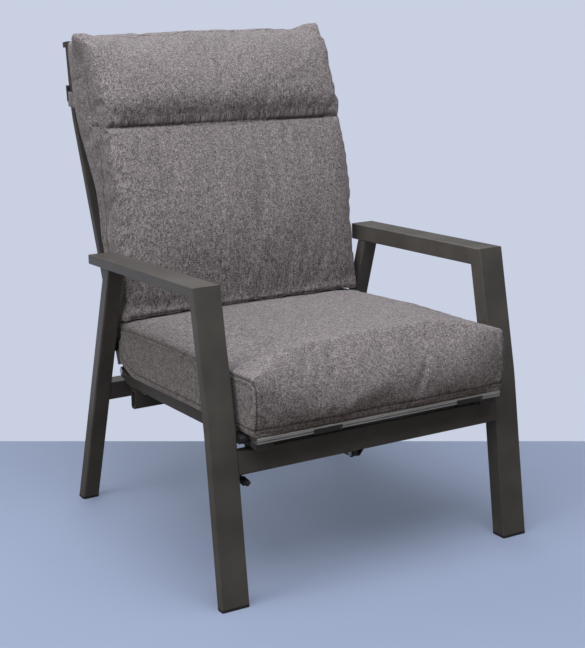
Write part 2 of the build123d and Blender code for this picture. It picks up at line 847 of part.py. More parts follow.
with BuildPart() as left_guide_screw:
    with BuildSketch(guide_plane):
        with Locations((guide_s, slot_mid)):
            Circle(guide_screw_radius)
    extrude(amount=guide_screw_length)
    with BuildSketch(guide_plane):
        with Locations((guide_s, slot_mid)):
            Circle(guide_screw_head_radius)
    extrude(amount=guide_screw_head_depth)
with left_seat_guide:
    with BuildSketch(guide_plane):
        with Locations((guide_s, slot_mid)):
            Circle(guide_screw_head_radius + running_clearance)
    extrude(amount=guide_screw_head_depth + running_clearance, mode=Mode.SUBTRACT)
with left_front_leg:
    with BuildSketch(seat_frame(inner_x)):
        with Locations((guide_s, slot_mid)):
            Circle(guide_screw_radius + running_clearance)
    extrude(amount=tube_wall * 2, mode=Mode.SUBTRACT)

# Glide pads between the front rail's top and the seat rails' underside
pad_front = moved(
    front_rail_centre, lower_leg_angle, front_rail_height / 2, front_rail_depth / 2 - pad_setback
)
pad_rear = moved(pad_front, lower_leg_angle, 0, -pad_length)


def rail_underside(y, gap):
    """The seat rails' underside at a distance behind the armrests' front, less a gap."""
    return seat_rail_base_height - (y + seat_front_reach) * tan(slope) - gap


with BuildPart() as left_glide_pad:
    with BuildSketch(side_plane(rail_mid_x - pad_width / 2)):
        Polygon(
            pad_front,
            pad_rear,
            (pad_rear[0], rail_underside(pad_rear[0], slide_clearance)),
            (pad_front[0], rail_underside(pad_front[0], slide_clearance)),
            align=None,
        )
    extrude(amount=pad_width)

# Gas spring along the middle of the seat. Its rod and release head stay on the base, and its
# cylinder moves with the seat.
spring_eye = (spring_front_reach, spring_height)
lever_pivot = (lever_pivot_reach, lever_pivot_height)
rail_back = moved(front_rail_centre, lower_leg_angle, 0, -front_rail_depth / 2)
cheek_place = spring_eye_width / 2 + spring_side_gap


def spring_frame(x):
    """Side view along the gas spring, with its origin at the front eye."""
    return tilted_plane(x, spring_eye, -slope)


def spring_section(run):
    """The plane across the gas spring at a distance behind its front eye, facing back."""
    place = moved(spring_eye, -slope, run)
    return Plane(
        origin=(0, arm_front_y + place[0], place[1]),
        x_dir=(1, 0, 0),
        z_dir=(0, cos(slope), -sin(slope)),
    )


with BuildPart() as spring_bracket:
    for side in (-1, 1):
        inner = cheek_place if side > 0 else -cheek_place - spring_cheek_thickness
        with BuildSketch(side_plane(inner)):
            with Locations(spring_eye):
                Circle(spring_cheek_radius)
            with Locations(rail_back):
                Rectangle(
                    front_rail_height / 2,
                    spring_cheek_thickness,
                    rotation=degrees(lower_leg_angle),
                    align=(Align.CENTER, Align.MAX),
                )
            make_hull()
        extrude(amount=spring_cheek_thickness)
    with BuildSketch(side_plane(-cheek_place - spring_cheek_thickness)):
        with Locations(rail_back):
            Rectangle(
                front_rail_height / 2,
                spring_cheek_thickness,
                rotation=degrees(lower_leg_angle),
                align=(Align.CENTER, Align.MAX),
            )
    extrude(amount=2 * (cheek_place + spring_cheek_thickness))
    with BuildSketch(side_plane(-cheek_place - spring_cheek_thickness)):
        with Locations(spring_eye):
            Circle(spring_pin_radius + running_clearance)
        with Locations(lever_pivot):
            Circle(shaft_radius + running_clearance)
    extrude(amount=2 * (cheek_place + spring_cheek_thickness), mode=Mode.SUBTRACT)

head_start = spring_cheek_radius + slide_clearance
rod_start = head_start + release_head_length
with BuildPart() as release_head:
    with BuildSketch(side_plane(-spring_eye_width / 2)):
        with Locations(spring_eye):
            Circle(spring_eye_radius)
    extrude(amount=spring_eye_width)
    with BuildSketch(spring_section(head_start)):
        Circle(release_head_radius)
    extrude(amount=release_head_length)
    with BuildSketch(spring_section(0)):
        Rectangle(spring_eye_width, spring_eye_width)
    extrude(amount=release_head_length)
    with BuildSketch(side_plane(-spring_eye_width / 2)):
        with Locations(spring_eye):
            Circle(spring_pin_radius + running_clearance)
    extrude(amount=spring_eye_width, mode=Mode.SUBTRACT)

with BuildPart() as gas_rod:
    with BuildSketch(spring_section(rod_start)):
        Circle(rod_radius)
    extrude(amount=rod_exposed + rod_hidden)

cylinder_start = rod_start + rod_exposed
cylinder_end = (cross_tube_reach - hanger_reach - spring_front_reach) / cos(slope) - cylinder_neck_length
cylinder_length = cylinder_end - cylinder_start
with BuildPart() as gas_cylinder:
    with BuildSketch(spring_section(cylinder_start)):
        Circle(cylinder_radius)
    extrude(amount=cylinder_length)
    chamfer(gas_cylinder.edges(), length=cylinder_corner)
    with BuildSketch(spring_section(cylinder_end)):
        Circle(cylinder_neck_radius)
    extrude(amount=cylinder_neck_length)
    with BuildSketch(side_plane(-spring_eye_width / 2)):
        with Locations(moved(spring_eye, -slope, cylinder_end + cylinder_neck_length)):
            Circle(spring_eye_radius)
    extrude(amount=spring_eye_width)
    with BuildSketch(side_plane(-spring_eye_width / 2)):
        with Locations(moved(spring_eye, -slope, cylinder_end + cylinder_neck_length)):
            Circle(spring_pin_radius + running_clearance)
    extrude(amount=spring_eye_width, mode=Mode.SUBTRACT)
    with BuildSketch(spring_section(cylinder_start)):
        Circle(rod_radius + running_clearance)
    extrude(amount=rod_hidden + seat_travel + cylinder_radius, mode=Mode.SUBTRACT)

# A hanger under the cross tube carries the cylinder's rear eye
rear_eye = moved(spring_eye, -slope, cylinder_end + cylinder_neck_length)
cross_low = moved(seat_front, -slope, cross_s, -cross_tube_height)
with BuildPart() as spring_hanger:
    for side in (-1, 1):
        inner = cheek_place if side > 0 else -cheek_place - hanger_thickness
        with BuildSketch(side_plane(inner)):
            with Locations(rear_eye):
                Circle(spring_cheek_radius)
            with Locations(cross_low):
                Rectangle(
                    hanger_thickness,
                    hanger_rise,
                    rotation=-seat_slope,
                    align=(Align.MAX, Align.MIN),
                )
            make_hull()
        extrude(amount=hanger_thickness)
    with BuildSketch(side_plane(-cheek_place - hanger_thickness)):
        with Locations(cross_low):
            Rectangle(
                hanger_thickness, hanger_rise, rotation=-seat_slope, align=(Align.MAX, Align.MIN)
            )
    extrude(amount=2 * (cheek_place + hanger_thickness))
    with BuildSketch(side_plane(-cheek_place - hanger_thickness)):
        with Locations(rear_eye):
            Circle(spring_pin_radius + running_clearance)
    extrude(amount=2 * (cheek_place + hanger_thickness), mode=Mode.SUBTRACT)


def spring_pin(place, plate):
    """A pin with two heads through a pair of cheeks and an eye."""
    reach = cheek_place + plate + slide_clearance
    with BuildPart() as pin:
        with BuildSketch(side_plane(-reach)):
            with Locations(place):
                Circle(spring_pin_radius)
        extrude(amount=2 * reach)
        for side in (-1, 1):
            with BuildSketch(side_plane(side * reach)):
                with Locations(place):
                    Circle(spring_pin_head_radius)
            extrude(amount=side * spring_pin_head_thickness)
    return pin


front_spring_pin = spring_pin(spring_eye, spring_cheek_thickness)
rear_spring_pin = spring_pin(rear_eye, hanger_thickness)

# The valve pin stands up from the release head and is pressed down to free the spring
valve_run = head_start + release_head_length / 2
valve_axis = tilted_plane(0, moved(spring_eye, -slope, valve_run), -slope)
valve_top = release_head_radius + valve_pin_out
valve_hole = valve_pin_length + valve_stroke + slide_clearance
valve_plane = Plane(
    origin=valve_axis.from_local_coords((0, valve_top, 0)),
    x_dir=(1, 0, 0),
    z_dir=-valve_axis.y_dir,
)
with BuildPart() as valve_pin:
    with BuildSketch(valve_plane):
        Circle(valve_pin_radius)
    extrude(amount=valve_pin_length)
with release_head:
    with BuildSketch(valve_plane):
        Circle(valve_pin_radius + running_clearance)
    extrude(amount=valve_hole, mode=Mode.SUBTRACT)

# Release lever, squeezed up at its front end near the front rail's right-hand end
lever_tip = (lever_tip_reach, lever_tip_height)
lever_line = direction(lever_tip, lever_pivot)
with BuildPart() as release_lever:
    with BuildSketch(side_plane(lever_x - lever_thickness / 2)):
        with Locations(lever_pivot):
            Circle(lever_hub_radius)
        with Locations(lever_tip):
            Circle(lever_tip_radius)
        make_hull()
    extrude(amount=lever_thickness)
    with BuildSketch(tilted_plane(lever_x - lever_pad_width / 2, lever_tip, lever_line)):
        SlotOverall(lever_pad_width * 2, 2 * lever_tip_radius, align=(Align.MIN, Align.CENTER))
    extrude(amount=lever_pad_width)
    with BuildSketch(side_plane(lever_x - lever_thickness / 2)):
        with Locations(lever_pivot):
            Circle(shaft_radius)
    extrude(amount=lever_thickness, mode=Mode.SUBTRACT)

# The lever's bracket holds the outer end of the shaft
bracket_inner = lever_x + lever_thickness / 2 + plug_clearance
bracket_start = lever_x - lever_thickness / 2 - plug_clearance - bracket_thickness
bracket_width = lever_thickness + 2 * (plug_clearance + bracket_thickness)
with BuildPart() as lever_bracket:
    for start in (bracket_inner, bracket_start):
        with BuildSketch(side_plane(start)):
            with Locations(lever_pivot):
                Circle(lever_hub_radius)
            with Locations(rail_back):
                Rectangle(
                    front_rail_height / 2,
                    bracket_thickness,
                    rotation=degrees(lower_leg_angle),
                    align=(Align.CENTER, Align.MAX),
                )
            make_hull()
        extrude(amount=bracket_thickness)
    with BuildSketch(side_plane(bracket_start)):
        with Locations(rail_back):
            Rectangle(
                front_rail_height / 2,
                bracket_thickness,
                rotation=degrees(lower_leg_angle),
                align=(Align.CENTER, Align.MAX),
            )
    extrude(amount=bracket_width)
    with BuildSketch(side_plane(bracket_start)):
        with Locations(lever_pivot):
            Circle(shaft_radius + running_clearance)
    extrude(amount=bracket_width, mode=Mode.SUBTRACT)

# The shaft turns in that bracket and in the gas spring's bracket, and its arm presses the pin
shaft_end = cheek_place + spring_cheek_thickness + slide_clearance
with BuildPart() as release_shaft:
    with BuildSketch(side_plane(bracket_start - slide_clearance)):
        with Locations(lever_pivot):
            Circle(shaft_radius)
    extrude(amount=shaft_end - bracket_start + slide_clearance)
arm_tip_point = valve_axis.from_local_coords((0, valve_top + arm_clearance + arm_tip_radius, 0))
arm_tip = (arm_tip_point.Y - arm_front_y, arm_tip_point.Z)
with BuildPart() as release_arm:
    with BuildSketch(side_plane(-arm_thickness / 2)):
        with Locations(lever_pivot):
            Circle(arm_hub_radius)
        with Locations(arm_tip):
            Circle(arm_tip_radius)
        make_hull()
        with Locations(lever_pivot):
            Circle(shaft_radius, mode=Mode.SUBTRACT)
    extrude(amount=arm_thickness)

# Seat cushion: side-view sections across its width, with a crowned top and rounded sides
cushion_low = rail_depth + soft_gap
front_face = -cushion_reach + seat_face_crown


def seat_top(y):
    """The level of the rails' top face under the seat cushion."""
    return rail_underside(y, 0) + cushion_low / cos(slope)


def seat_cushion_section(x, crown, drop, inset):
    """A side-view section at x, with its crown, how far its top edge drops, and its inset."""
    rear_face = seat_cushion_end - seat_face_crown
    low_front = (front_face + inset, seat_top(front_face) + inset)
    top_front = (front_face + inset, seat_top(front_face) + seat_front_height - drop)
    top_rear = (rear_face - inset, seat_top(rear_face) + seat_rear_height - drop)
    low_rear = (rear_face - inset, seat_top(rear_face) + seat_rear_cut_rise)
    turn = rear_face - seat_rear_cut
    low_turn = (turn, seat_top(turn) + inset)
    with BuildSketch(side_plane(x)) as section:
        with BuildLine():
            Line(low_rear, low_turn)
            Line(low_turn, low_front)
            SagittaArc(low_front, top_front, seat_face_crown)
            SagittaArc(top_front, top_rear, crown)
            SagittaArc(top_rear, low_rear, seat_face_crown)
        make_face()
    return section.sketch


def draw_in(plane, half, low, high, depth):
    """Pull both sides of the cushion in between two places, in a plan or front view."""
    for side in (-1, 1):
        with BuildSketch(plane) as hollow:
            with BuildLine():
                Line((side * half, low), (side * half, high))
                SagittaArc((side * half, high), (side * half, low), side * depth)
            make_face()
        extrude(hollow.sketch, amount=arm_height, both=True, mode=Mode.SUBTRACT)


with BuildPart() as seat_cushion:
    core = seat_cushion_half_width - seat_edge_round
    for x, share in ((-core, seat_edge_crown_share), (0, 1), (core, seat_edge_crown_share)):
        add(seat_cushion_section(x, seat_crown * share, seat_edge_drop * (1 - share), 0))
    loft()
    for side in (-1, 1):
        shoulder_crown = seat_crown * seat_edge_crown_share
        shoulder_drop = seat_edge_drop * (1 - seat_edge_crown_share)
        add(seat_cushion_section(side * core, shoulder_crown, shoulder_drop, 0))
        add(
            seat_cushion_section(
                side * seat_cushion_half_width,
                shoulder_crown,
                shoulder_drop + seat_edge_inset,
                seat_edge_inset,
            )
        )
        loft(ruled=True)
    draw_in(
        Plane.XY,
        seat_cushion_half_width,
        arm_front_y + front_face + seat_edge_inset,
        arm_front_y + seat_cushion_end - seat_face_crown,
        seat_draw,
    )

# Webbing straps hold the seat cushion: each goes through the front bar's slot, round its lower
# lip and up behind it to the cushion
bar_low = rail_depth - bar_height
bar_slot_mid = rail_depth - lip_depth - bar_slot_height / 2
strap_front = -strap_gap - strap_thickness
strap_low = bar_low - strap_gap - strap_thickness
strap_rear = bar_depth + strap_gap
with BuildPart() as seat_straps:
    for share in strap_place_shares:
        with BuildSketch(seat_frame(frame_half_width * share - strap_width / 2)):
            with Locations((strap_front, bar_slot_mid - strap_thickness / 2)):
                Rectangle(
                    bar_slot_depth + strap_thickness,
                    strap_thickness,
                    align=(Align.MIN, Align.MIN),
                )
            with Locations((strap_front, strap_low)):
                Rectangle(
                    strap_thickness,
                    bar_slot_mid + strap_thickness / 2 - strap_low,
                    align=(Align.MIN, Align.MIN),
                )
                Rectangle(
                    strap_rear + strap_thickness - strap_front,
                    strap_thickness,
                    align=(Align.MIN, Align.MIN),
                )
            with Locations((strap_rear, strap_low)):
                Rectangle(
                    strap_thickness,
                    rail_depth - strap_low,
                    align=(Align.MIN, Align.MIN),
                )
        extrude(amount=strap_width)

# Back cushion: the same way, with a thicker head section above a sewn channel
bend_turn = (lean - upper_lean) / 2
bend_relief = back_bend_radius * (1 / cos(bend_turn) - 1)
bend_gap = soft_gap + bend_relief + rail_depth * (cos(upper_lean) / cos(lean) - 1)


def back_front(level, gap):
    """How far back the back rails' front faces lie at a level, less a gap."""
    rise = level - back_bend_height
    if rise < 0:
        return back_bend[0] + rise * tan(lean) - (rail_depth + gap) / cos(lean)
    return back_bend[0] + rise * tan(upper_lean) - (rail_depth + gap) / cos(upper_lean)


def back_cushion_section(x, swell, inset):
    """A side-view section at x. Swell scales the crowns, and the inset rounds the rear edge."""
    bottom_front = (back_cushion_front, back_cushion_bottom)
    channel = (back_channel_front, back_channel_height)
    top_front = (back_top_front, back_cushion_top_height - inset * back_top_drop_share)
    top_rear = (back_front(back_cushion_top_height, soft_gap) - inset, top_front[1])
    bend = (back_front(back_bend_height, bend_gap) - inset, back_bend_height)
    leave = (back_front(back_leave_height, bend_gap) - inset, back_leave_height)
    hollow = (back_front(back_hollow_height, back_hollow_gap) - inset / 2, back_hollow_height)
    bottom_rear = (back_cushion_rear, back_cushion_bottom)
    with BuildSketch(side_plane(x)) as section:
        with BuildLine():
            Line(bottom_rear, bottom_front)
            SagittaArc(bottom_front, channel, back_front_crown * swell)
            SagittaArc(channel, top_front, head_front_crown * swell)
            SagittaArc(top_front, top_rear, back_top_crown * swell)
            Line(top_rear, bend)
            Line(bend, leave)
            Line(leave, hollow)
            SagittaArc(hollow, bottom_rear, back_rear_crown * swell)
        make_face()
    return section.sketch


with BuildPart() as back_cushion:
    core = back_cushion_half_width - back_edge_round
    for x, share in ((-core, back_edge_crown_share), (0, 1), (core, back_edge_crown_share)):
        add(back_cushion_section(x, share, 0))
    loft()
    for side in (-1, 1):
        add(back_cushion_section(side * core, back_edge_crown_share, 0))
        add(
            back_cushion_section(
                side * back_cushion_half_width, back_edge_crown_share, back_edge_inset
            )
        )
        loft(ruled=True)
    for low, high in (
        (back_cushion_bottom, back_channel_height),
        (back_channel_height, back_cushion_top_height),
    ):
        draw_in(Plane.XZ, back_cushion_half_width, low, high, back_draw)

# A black band round the back of the frame holds the head section, with a fabric tab each side
band_base = moved(back_top, upper_angle, -(back_height - headband_height) / cos(upper_lean))
tab_base = moved(back_top, upper_angle, -(back_height - tab_height) / cos(upper_lean))


def band_plane(base):
    """The plane across the back rails' upper run: X first, then rearward from their rear face."""
    return Plane(
        origin=(0, arm_front_y + base[0], base[1]),
        x_dir=(1, 0, 0),
        z_dir=(0, sin(upper_lean), cos(upper_lean)),
    )


band_half = frame_half_width + soft_gap + headband_thickness
with BuildPart() as headband:
    with BuildSketch(band_plane(band_base)):
        with Locations((0, soft_gap)):
            Rectangle(2 * band_half, headband_thickness, align=(Align.CENTER, Align.MIN))
        for side, align in ((-1, Align.MIN), (1, Align.MAX)):
            with Locations((side * band_half, soft_gap + headband_thickness)):
                Rectangle(headband_thickness, headband_wrap, align=(align, Align.MAX))
    extrude(amount=headband_width)
tab_start = headband_thickness - headband_wrap
tab_turn = -rail_depth
tab_meet = -rail_depth - back_edge_inset
tab_side = frame_half_width + soft_gap
cushion_side = back_cushion_half_width + soft_gap
with BuildPart() as left_tab:
    with BuildSketch(band_plane(tab_base)):
        Polygon(
            (tab_side, tab_start),
            (tab_side, tab_turn),
            (cushion_side, tab_meet),
            (cushion_side, tab_meet - tab_reach),
            (cushion_side + tab_thickness, tab_meet - tab_reach),
            (cushion_side + tab_thickness, tab_meet),
            (tab_side + tab_thickness, tab_turn),
            (tab_side + tab_thickness, tab_start),
            align=None,
        )
    extrude(amount=tab_width)

pieces = {
    "left_armrest": left_armrest,
    "left_front_leg": left_front_leg,
    "left_rear_leg": left_rear_leg,
    "left_arm_cap": left_arm_cap,
    "left_front_foot": left_front_foot,
    "left_rear_foot": left_rear_foot,
    "left_seat_rail": left_seat_rail,
    "left_seat_cap": left_seat_cap,
    "left_back_rail": left_back_rail,
    "left_pivot_plate": left_pivot_plate,
    "left_hinge_fork": left_hinge_fork,
    "left_seat_guide": left_seat_guide,
}
pieces |= {name.replace("left", "right"): mirrored(piece) for name, piece in pieces.items()}
pieces |= {
    "front_rail": front_rail,
    "rear_rail": rear_rail,
    "front_bar": front_bar,
    "cross_tube": cross_tube,
    "back_top_bar": back_top_bar,
    "back_lower_bar": back_lower_bar,
    "seat_sling": seat_sling,
    "back_sling": back_sling,
    "seat_cushion": seat_cushion,
    "back_cushion": back_cushion,
    "spring_bracket": spring_bracket,
    "release_head": release_head,
    "gas_rod": gas_rod,
    "gas_cylinder": gas_cylinder,
    "spring_hanger": spring_hanger,
    "front_spring_pin": front_spring_pin,
    "rear_spring_pin": rear_spring_pin,
    "valve_pin": valve_pin,
    "seat_straps": seat_straps,
    "headband": headband,
    "headband_tabs": paired(left_tab),
    "release_lever": release_lever,
    "lever_bracket": lever_bracket,
    "release_shaft": release_shaft,
    "release_arm": release_arm,
    "pivot_bolts": paired(left_pivot_bolt),
    "pivot_washers": paired(left_pivot_washer),
    "pivot_inserts": paired(left_pivot_insert),
    "hinge_tongues": paired(left_hinge_tongue),
    "hinge_pins": paired(left_hinge_pin),
    "guide_screws": paired(left_guide_screw),
    "glide_pads": paired(left_glide_pad),
    "cross_bolts": paired(left_cross_bolt),
}
for name, piece in pieces.items():
    piece.part.label = name
    export_step(piece.part, f"parts/{name}.step")
print("hinge", hinge, "pivot", pivot, "seat travel", round(seat_travel, 3))
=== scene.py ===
# %% [markdown]
# # A reclining lounge chair for a porch
#
# The real chair is a powder-coated aluminium frame with a reclining seat frame inside it, two
# stretched slings and two loose cushions. The CAD model brings every rigid part, with its place
# and its motion. This notebook gives those parts their finishes and makes the soft goods again
# as cloth: two stuffed covers, two slings, a head band, its tabs and two webbing straps.
#
# The model could be imported by hand, but then its pieces would not move with their bodies.

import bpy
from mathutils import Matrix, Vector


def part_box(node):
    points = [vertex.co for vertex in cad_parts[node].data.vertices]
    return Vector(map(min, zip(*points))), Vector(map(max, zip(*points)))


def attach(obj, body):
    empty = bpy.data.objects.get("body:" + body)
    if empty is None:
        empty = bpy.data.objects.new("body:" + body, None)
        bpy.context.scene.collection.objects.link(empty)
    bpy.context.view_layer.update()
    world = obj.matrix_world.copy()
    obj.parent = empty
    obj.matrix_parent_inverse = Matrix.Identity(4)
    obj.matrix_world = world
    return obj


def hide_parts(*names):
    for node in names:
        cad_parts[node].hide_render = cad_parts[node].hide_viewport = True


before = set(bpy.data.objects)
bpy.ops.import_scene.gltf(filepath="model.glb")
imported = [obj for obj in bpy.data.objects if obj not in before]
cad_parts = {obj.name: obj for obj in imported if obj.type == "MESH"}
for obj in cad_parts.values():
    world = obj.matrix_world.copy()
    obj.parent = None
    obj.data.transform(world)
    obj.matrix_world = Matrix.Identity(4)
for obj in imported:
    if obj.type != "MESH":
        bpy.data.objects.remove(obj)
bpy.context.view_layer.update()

# %% [markdown]
# ## Small helpers
#
# A colour is easiest to choose as a hex value from a swatch card, but a shader wants linear
# light, so one function turns the one into the other. A node tree is a list of nodes with
# settings and links, so one function adds any node. Meshes are read and written as arrays,
# because moving twenty thousand points one by one is slow.

# %% Colour and node helpers
from math import cos, pi, radians, sin

import bmesh
import bpy
import numpy as np
from mathutils import Matrix, Vector, noise
from mathutils.bvhtree import BVHTree

MM = 0.001


def linear(hex_colour):
    """An sRGB hex colour as linear red, green and blue with a full alpha."""
    parts = [int(hex_colour[i : i + 2], 16) / 255 for i in (1, 3, 5)]
    light = [p / 12.92 if p <= 0.04045 else ((p + 0.055) / 1.055) ** 2.4 for p in parts]
    return (*light, 1.0)


def add_node(tree, kind, settings=None, inputs=None):
    """Adds a node. An input is given a value, or a socket that it is linked to."""
    node = tree.nodes.new(kind)
    for name, value in (settings or {}).items():
        setattr(node, name, value)
    for name, value in (inputs or {}).items():
        if isinstance(value, bpy.types.NodeSocket):
            tree.links.new(value, node.inputs[name])
        else:
            node.inputs[name].default_value = value
    return node


# %% Mesh helpers
def rows_of(things, name, width=3, kind=np.float32):
    """A property of many elements, as an array of rows."""
    flat = np.zeros(len(things) * width, kind)
    things.foreach_get(name, flat)
    return flat.reshape(-1, width)


def points_of(mesh):
    """The mesh's points as an array of rows."""
    return rows_of(mesh.vertices, "co").astype(float)


def normals_of(mesh):
    """The direction in which the surface faces at each point."""
    return rows_of(mesh.vertex_normals, "vector").astype(float)


def put_points(mesh, points):
    """Moves the mesh's points to new places."""
    mesh.vertices.foreach_set("co", points.astype(np.float32).ravel())
    mesh.update()


def new_piece(name, mesh, finish):
    """An object at the origin with one finish, smooth-shaded."""
    piece = bpy.data.objects.new(name, mesh)
    bpy.context.scene.collection.objects.link(piece)
    mesh.materials.clear()
    mesh.materials.append(finish)
    mesh.shade_smooth()
    return piece


def make_plain(piece):
    """Turns the piece's modifiers into a plain mesh."""
    depsgraph = bpy.context.evaluated_depsgraph_get()
    made = bpy.data.meshes.new_from_object(piece.evaluated_get(depsgraph))
    old = piece.data
    piece.modifiers.clear()
    piece.data = made
    bpy.data.meshes.remove(old)


# %% Distances, noise and soft steps
def to_line(points, line):
    """Each point's distance to a line of points, and how far along the line it is."""
    nearest = np.full(len(points), np.inf)
    run = np.zeros(len(points))
    start = 0.0
    for a, b in zip(line[:-1], line[1:]):
        step = b - a
        length = np.linalg.norm(step)
        share = np.clip((points - a) @ step / length**2, 0, 1)
        gap = np.linalg.norm(points - a - share[:, None] * step, axis=1)
        nearer = gap < nearest
        nearest = np.where(nearer, gap, nearest)
        run = np.where(nearer, start + share * length, run)
        start += length
    return nearest, run


def waves(places, size, seed):
    """Smooth noise from -1 to 1 with waves of that size in metres, the same in every run."""
    shift = Vector((seed * 7.3, seed * 3.1, seed * 5.7))
    return np.array([noise.noise(Vector(p) / size + shift) for p in places]) * 2


def ease(values, low, high):
    """0 up to low, 1 from high on, and a soft step between."""
    share = np.clip((values - low) / (high - low), 0, 1)
    return share * share * (3 - 2 * share)


# %% [markdown]
# ## The metal finishes
#
# The frame is aluminium tube with an anthracite powder coat. The powder melts into a skin that
# is not quite smooth: it has a fine orange-peel grain of about 0.3 mm, which breaks a highlight
# up into a soft glow. A plain dark colour would look like plastic, so the grain is a bump, the
# colour varies a little from place to place, and the roughness does too.
#
# Zinc-plated screws and pins are true metal: full metallic, with faint mottling in their
# roughness, because plating is never even. Painted steel is darker and smoother.

# %% Start a material and its common grain
def new_finish(name, base, roughness):
    """A material with a principled shader, its tree, and its Object coordinates."""
    finish = bpy.data.materials.new(name)
    finish.use_nodes = True
    tree = finish.node_tree
    shader = tree.nodes["Principled BSDF"]
    shader.inputs["Base Color"].default_value = linear(base)
    shader.inputs["Roughness"].default_value = roughness
    finish.diffuse_color = linear(base)
    place = add_node(tree, "ShaderNodeTexCoord").outputs["Object"]
    return finish, tree, shader, place


def add_grain(tree, shader, place, size, depth, colours, spread, patch):
    """Fine bump of one grain size, and colour and roughness that drift over a larger patch."""
    noises = []
    for wide, detail in ((size, 2.0), (patch, 3.0)):
        inputs = {"Vector": place, "Scale": 1 / wide, "Detail": detail}
        noises.append(add_node(tree, "ShaderNodeTexNoise", inputs=inputs).outputs[0])
    grain, drift = noises
    inputs = {"Height": grain, "Distance": depth, "Strength": 1.0}
    bump = add_node(tree, "ShaderNodeBump", inputs=inputs)
    tree.links.new(bump.outputs[0], shader.inputs["Normal"])
    inputs = {0: grain, 1: 0.45, 2: drift}
    both = add_node(tree, "ShaderNodeMath", {"operation": "MULTIPLY_ADD"}, inputs)
    inputs = {"Value": both.outputs[0], "From Min": 0.5, "From Max": 0.95}
    step = add_node(tree, "ShaderNodeMapRange", inputs=inputs)
    inputs = {"Factor": step.outputs[0], 6: linear(colours[0]), 7: linear(colours[1])}
    shade = add_node(tree, "ShaderNodeMix", {"data_type": "RGBA"}, inputs)
    tree.links.new(shade.outputs[2], shader.inputs["Base Color"])
    middle = shader.inputs["Roughness"].default_value
    inputs = {"Value": drift, "To Min": middle - spread, "To Max": middle + spread}
    rough = add_node(tree, "ShaderNodeMapRange", inputs=inputs)
    tree.links.new(rough.outputs[0], shader.inputs["Roughness"])


def grained(name, base, roughness, size, depth, colours, spread, patch=0.07, metallic=0.0):
    """A finished material with grain, for metal, plastic and thread."""
    finish, tree, shader, place = new_finish(name, base, roughness)
    shader.inputs["Metallic"].default_value = metallic
    add_grain(tree, shader, place, size, depth, colours, spread, patch)
    return finish


# %% Powder coat, painted steel and plating
# The coat's real grain is about 0.3 mm, too fine to show here, so it is drawn at 1.4 mm.
coat_grain = 1.4 * MM

# Powder coat, anthracite: matt, warm dark grey, with a soft wide highlight
shades = ("#4b4945", "#5d5a55")
frame_coat = grained(
    "powder_coat_anthracite", "#494742", 0.38, coat_grain, 0.06 * MM, shades, 0.06
)

# The same powder on the reclining frame, in a copy of its own that is a touch darker and less
# glossy: the darker colour is painted shade
shades = ("#41403d", "#504e4a")
rail_coat_shaded = grained("powder_coat_grey_shaded", "#464541", 0.45, coat_grain, 0.06 * MM, shades, 0.06)

# Painted steel: smoother and darker than the coat on the tubes
shades = ("#1e1f20", "#2a2a2b")
steel_paint = grained("black_painted_steel", "#222324", 0.4, 2.0 * MM, 0.03 * MM, shades, 0.08)

# Zinc plating: bright, slightly cloudy metal
shades = ("#a9adb1", "#c0c2c4")
plating = grained(
    "zinc_plated_steel", "#b4b7ba", 0.32, 1.2 * MM, 0.01 * MM, shades, 0.1, 0.012, 1.0
)

# Satin aluminium of the bar under the seat's front edge: pale, it catches the light from above
shades = ("#cfcec8", "#e2e1db")
bar_metal = grained(
    "satin_anodised_aluminium", "#d9d8d2", 0.38, 1.6 * MM, 0.01 * MM, shades, 0.06, 0.03, 1.0
)
print("metal finishes", frame_coat.name, rail_coat_shaded.name, steel_paint.name, plating.name)

# %% [markdown]
# ## The moulded plastics
#
# The feet, glides and guides are moulded polypropylene, black with a faint spark-eroded grain
# from the mould. The caps in the ends of the seat rails are a dark grey plastic. Moulded parts
# scuff where they rub, which shows as lighter, rougher patches.

# %% Black and grey plastics
# Moulded black plastic: a mould grain of 0.5 mm, drawn at 1.2 mm so that it shows
mould_grain = 1.2 * MM
shades = ("#1a1a1b", "#2a2a2b")
black_plastic = grained(
    "moulded_black_plastic", "#1f1f20", 0.5, mould_grain, 0.05 * MM, shades, 0.1, 0.02
)

# Dark grey end caps, slightly glossy
shades = ("#3f3d3b", "#4f4c49")
cap_plastic = grained(
    "moulded_grey_plastic", "#44423f", 0.42, mould_grain, 0.03 * MM, shades, 0.08, 0.02
)
print("plastics", black_plastic.name, cap_plastic.name)

# %% [markdown]
# ## The cushion cloth
#
# The covers are a melange weave: polyolefin yarns spun from light and dark fibres, so each
# yarn changes shade along its length. Up close that reads as short horizontal and vertical
# streaks. An image of cloth would repeat, so each short length of yarn gets a random shade,
# once for each thread direction, and two crossed waves choose which of the two yarns lies on top.
#
# The pattern lies on the cover's own UV map, which is unrolled in metres, so it follows the
# surface when the cushion moves and stays the same size on the top, the front and the sides.
# The covers also carry the distance to their seams, and shade is painted into the cloth's colour
# in that fold.

# %% Yarns of the melange
# The yarns are about 1.2 mm apart, as in coarse outdoor cloth, so they are drawn as they are.
yarn_pitch = 1.2 * MM
# A yarn keeps its shade for about 4 mm, and one yarn is one streak wide.
streak_length = 4 * MM
streak_width = 1.2 * MM


def add_streaks(tree, place, along_first, seed):
    """A shade of its own for each length of each yarn that runs in one direction."""
    long, short = 1 / streak_length, 1 / streak_width
    scale = (long, short, 1.0) if along_first else (short, long, 1.0)
    turned = add_node(
        tree,
        "ShaderNodeMapping",
        inputs={"Vector": place, "Scale": scale, "Location": (seed, seed * 1.7, 0.0)},
    )
    cell = add_node(
        tree, "ShaderNodeVectorMath", {"operation": "FLOOR"}, {0: turned.outputs[0]}
    )
    streaks = add_node(
        tree, "ShaderNodeTexWhiteNoise", {"noise_dimensions": "2D"}, {"Vector": cell.outputs[0]}
    )
    return streaks.outputs[0]


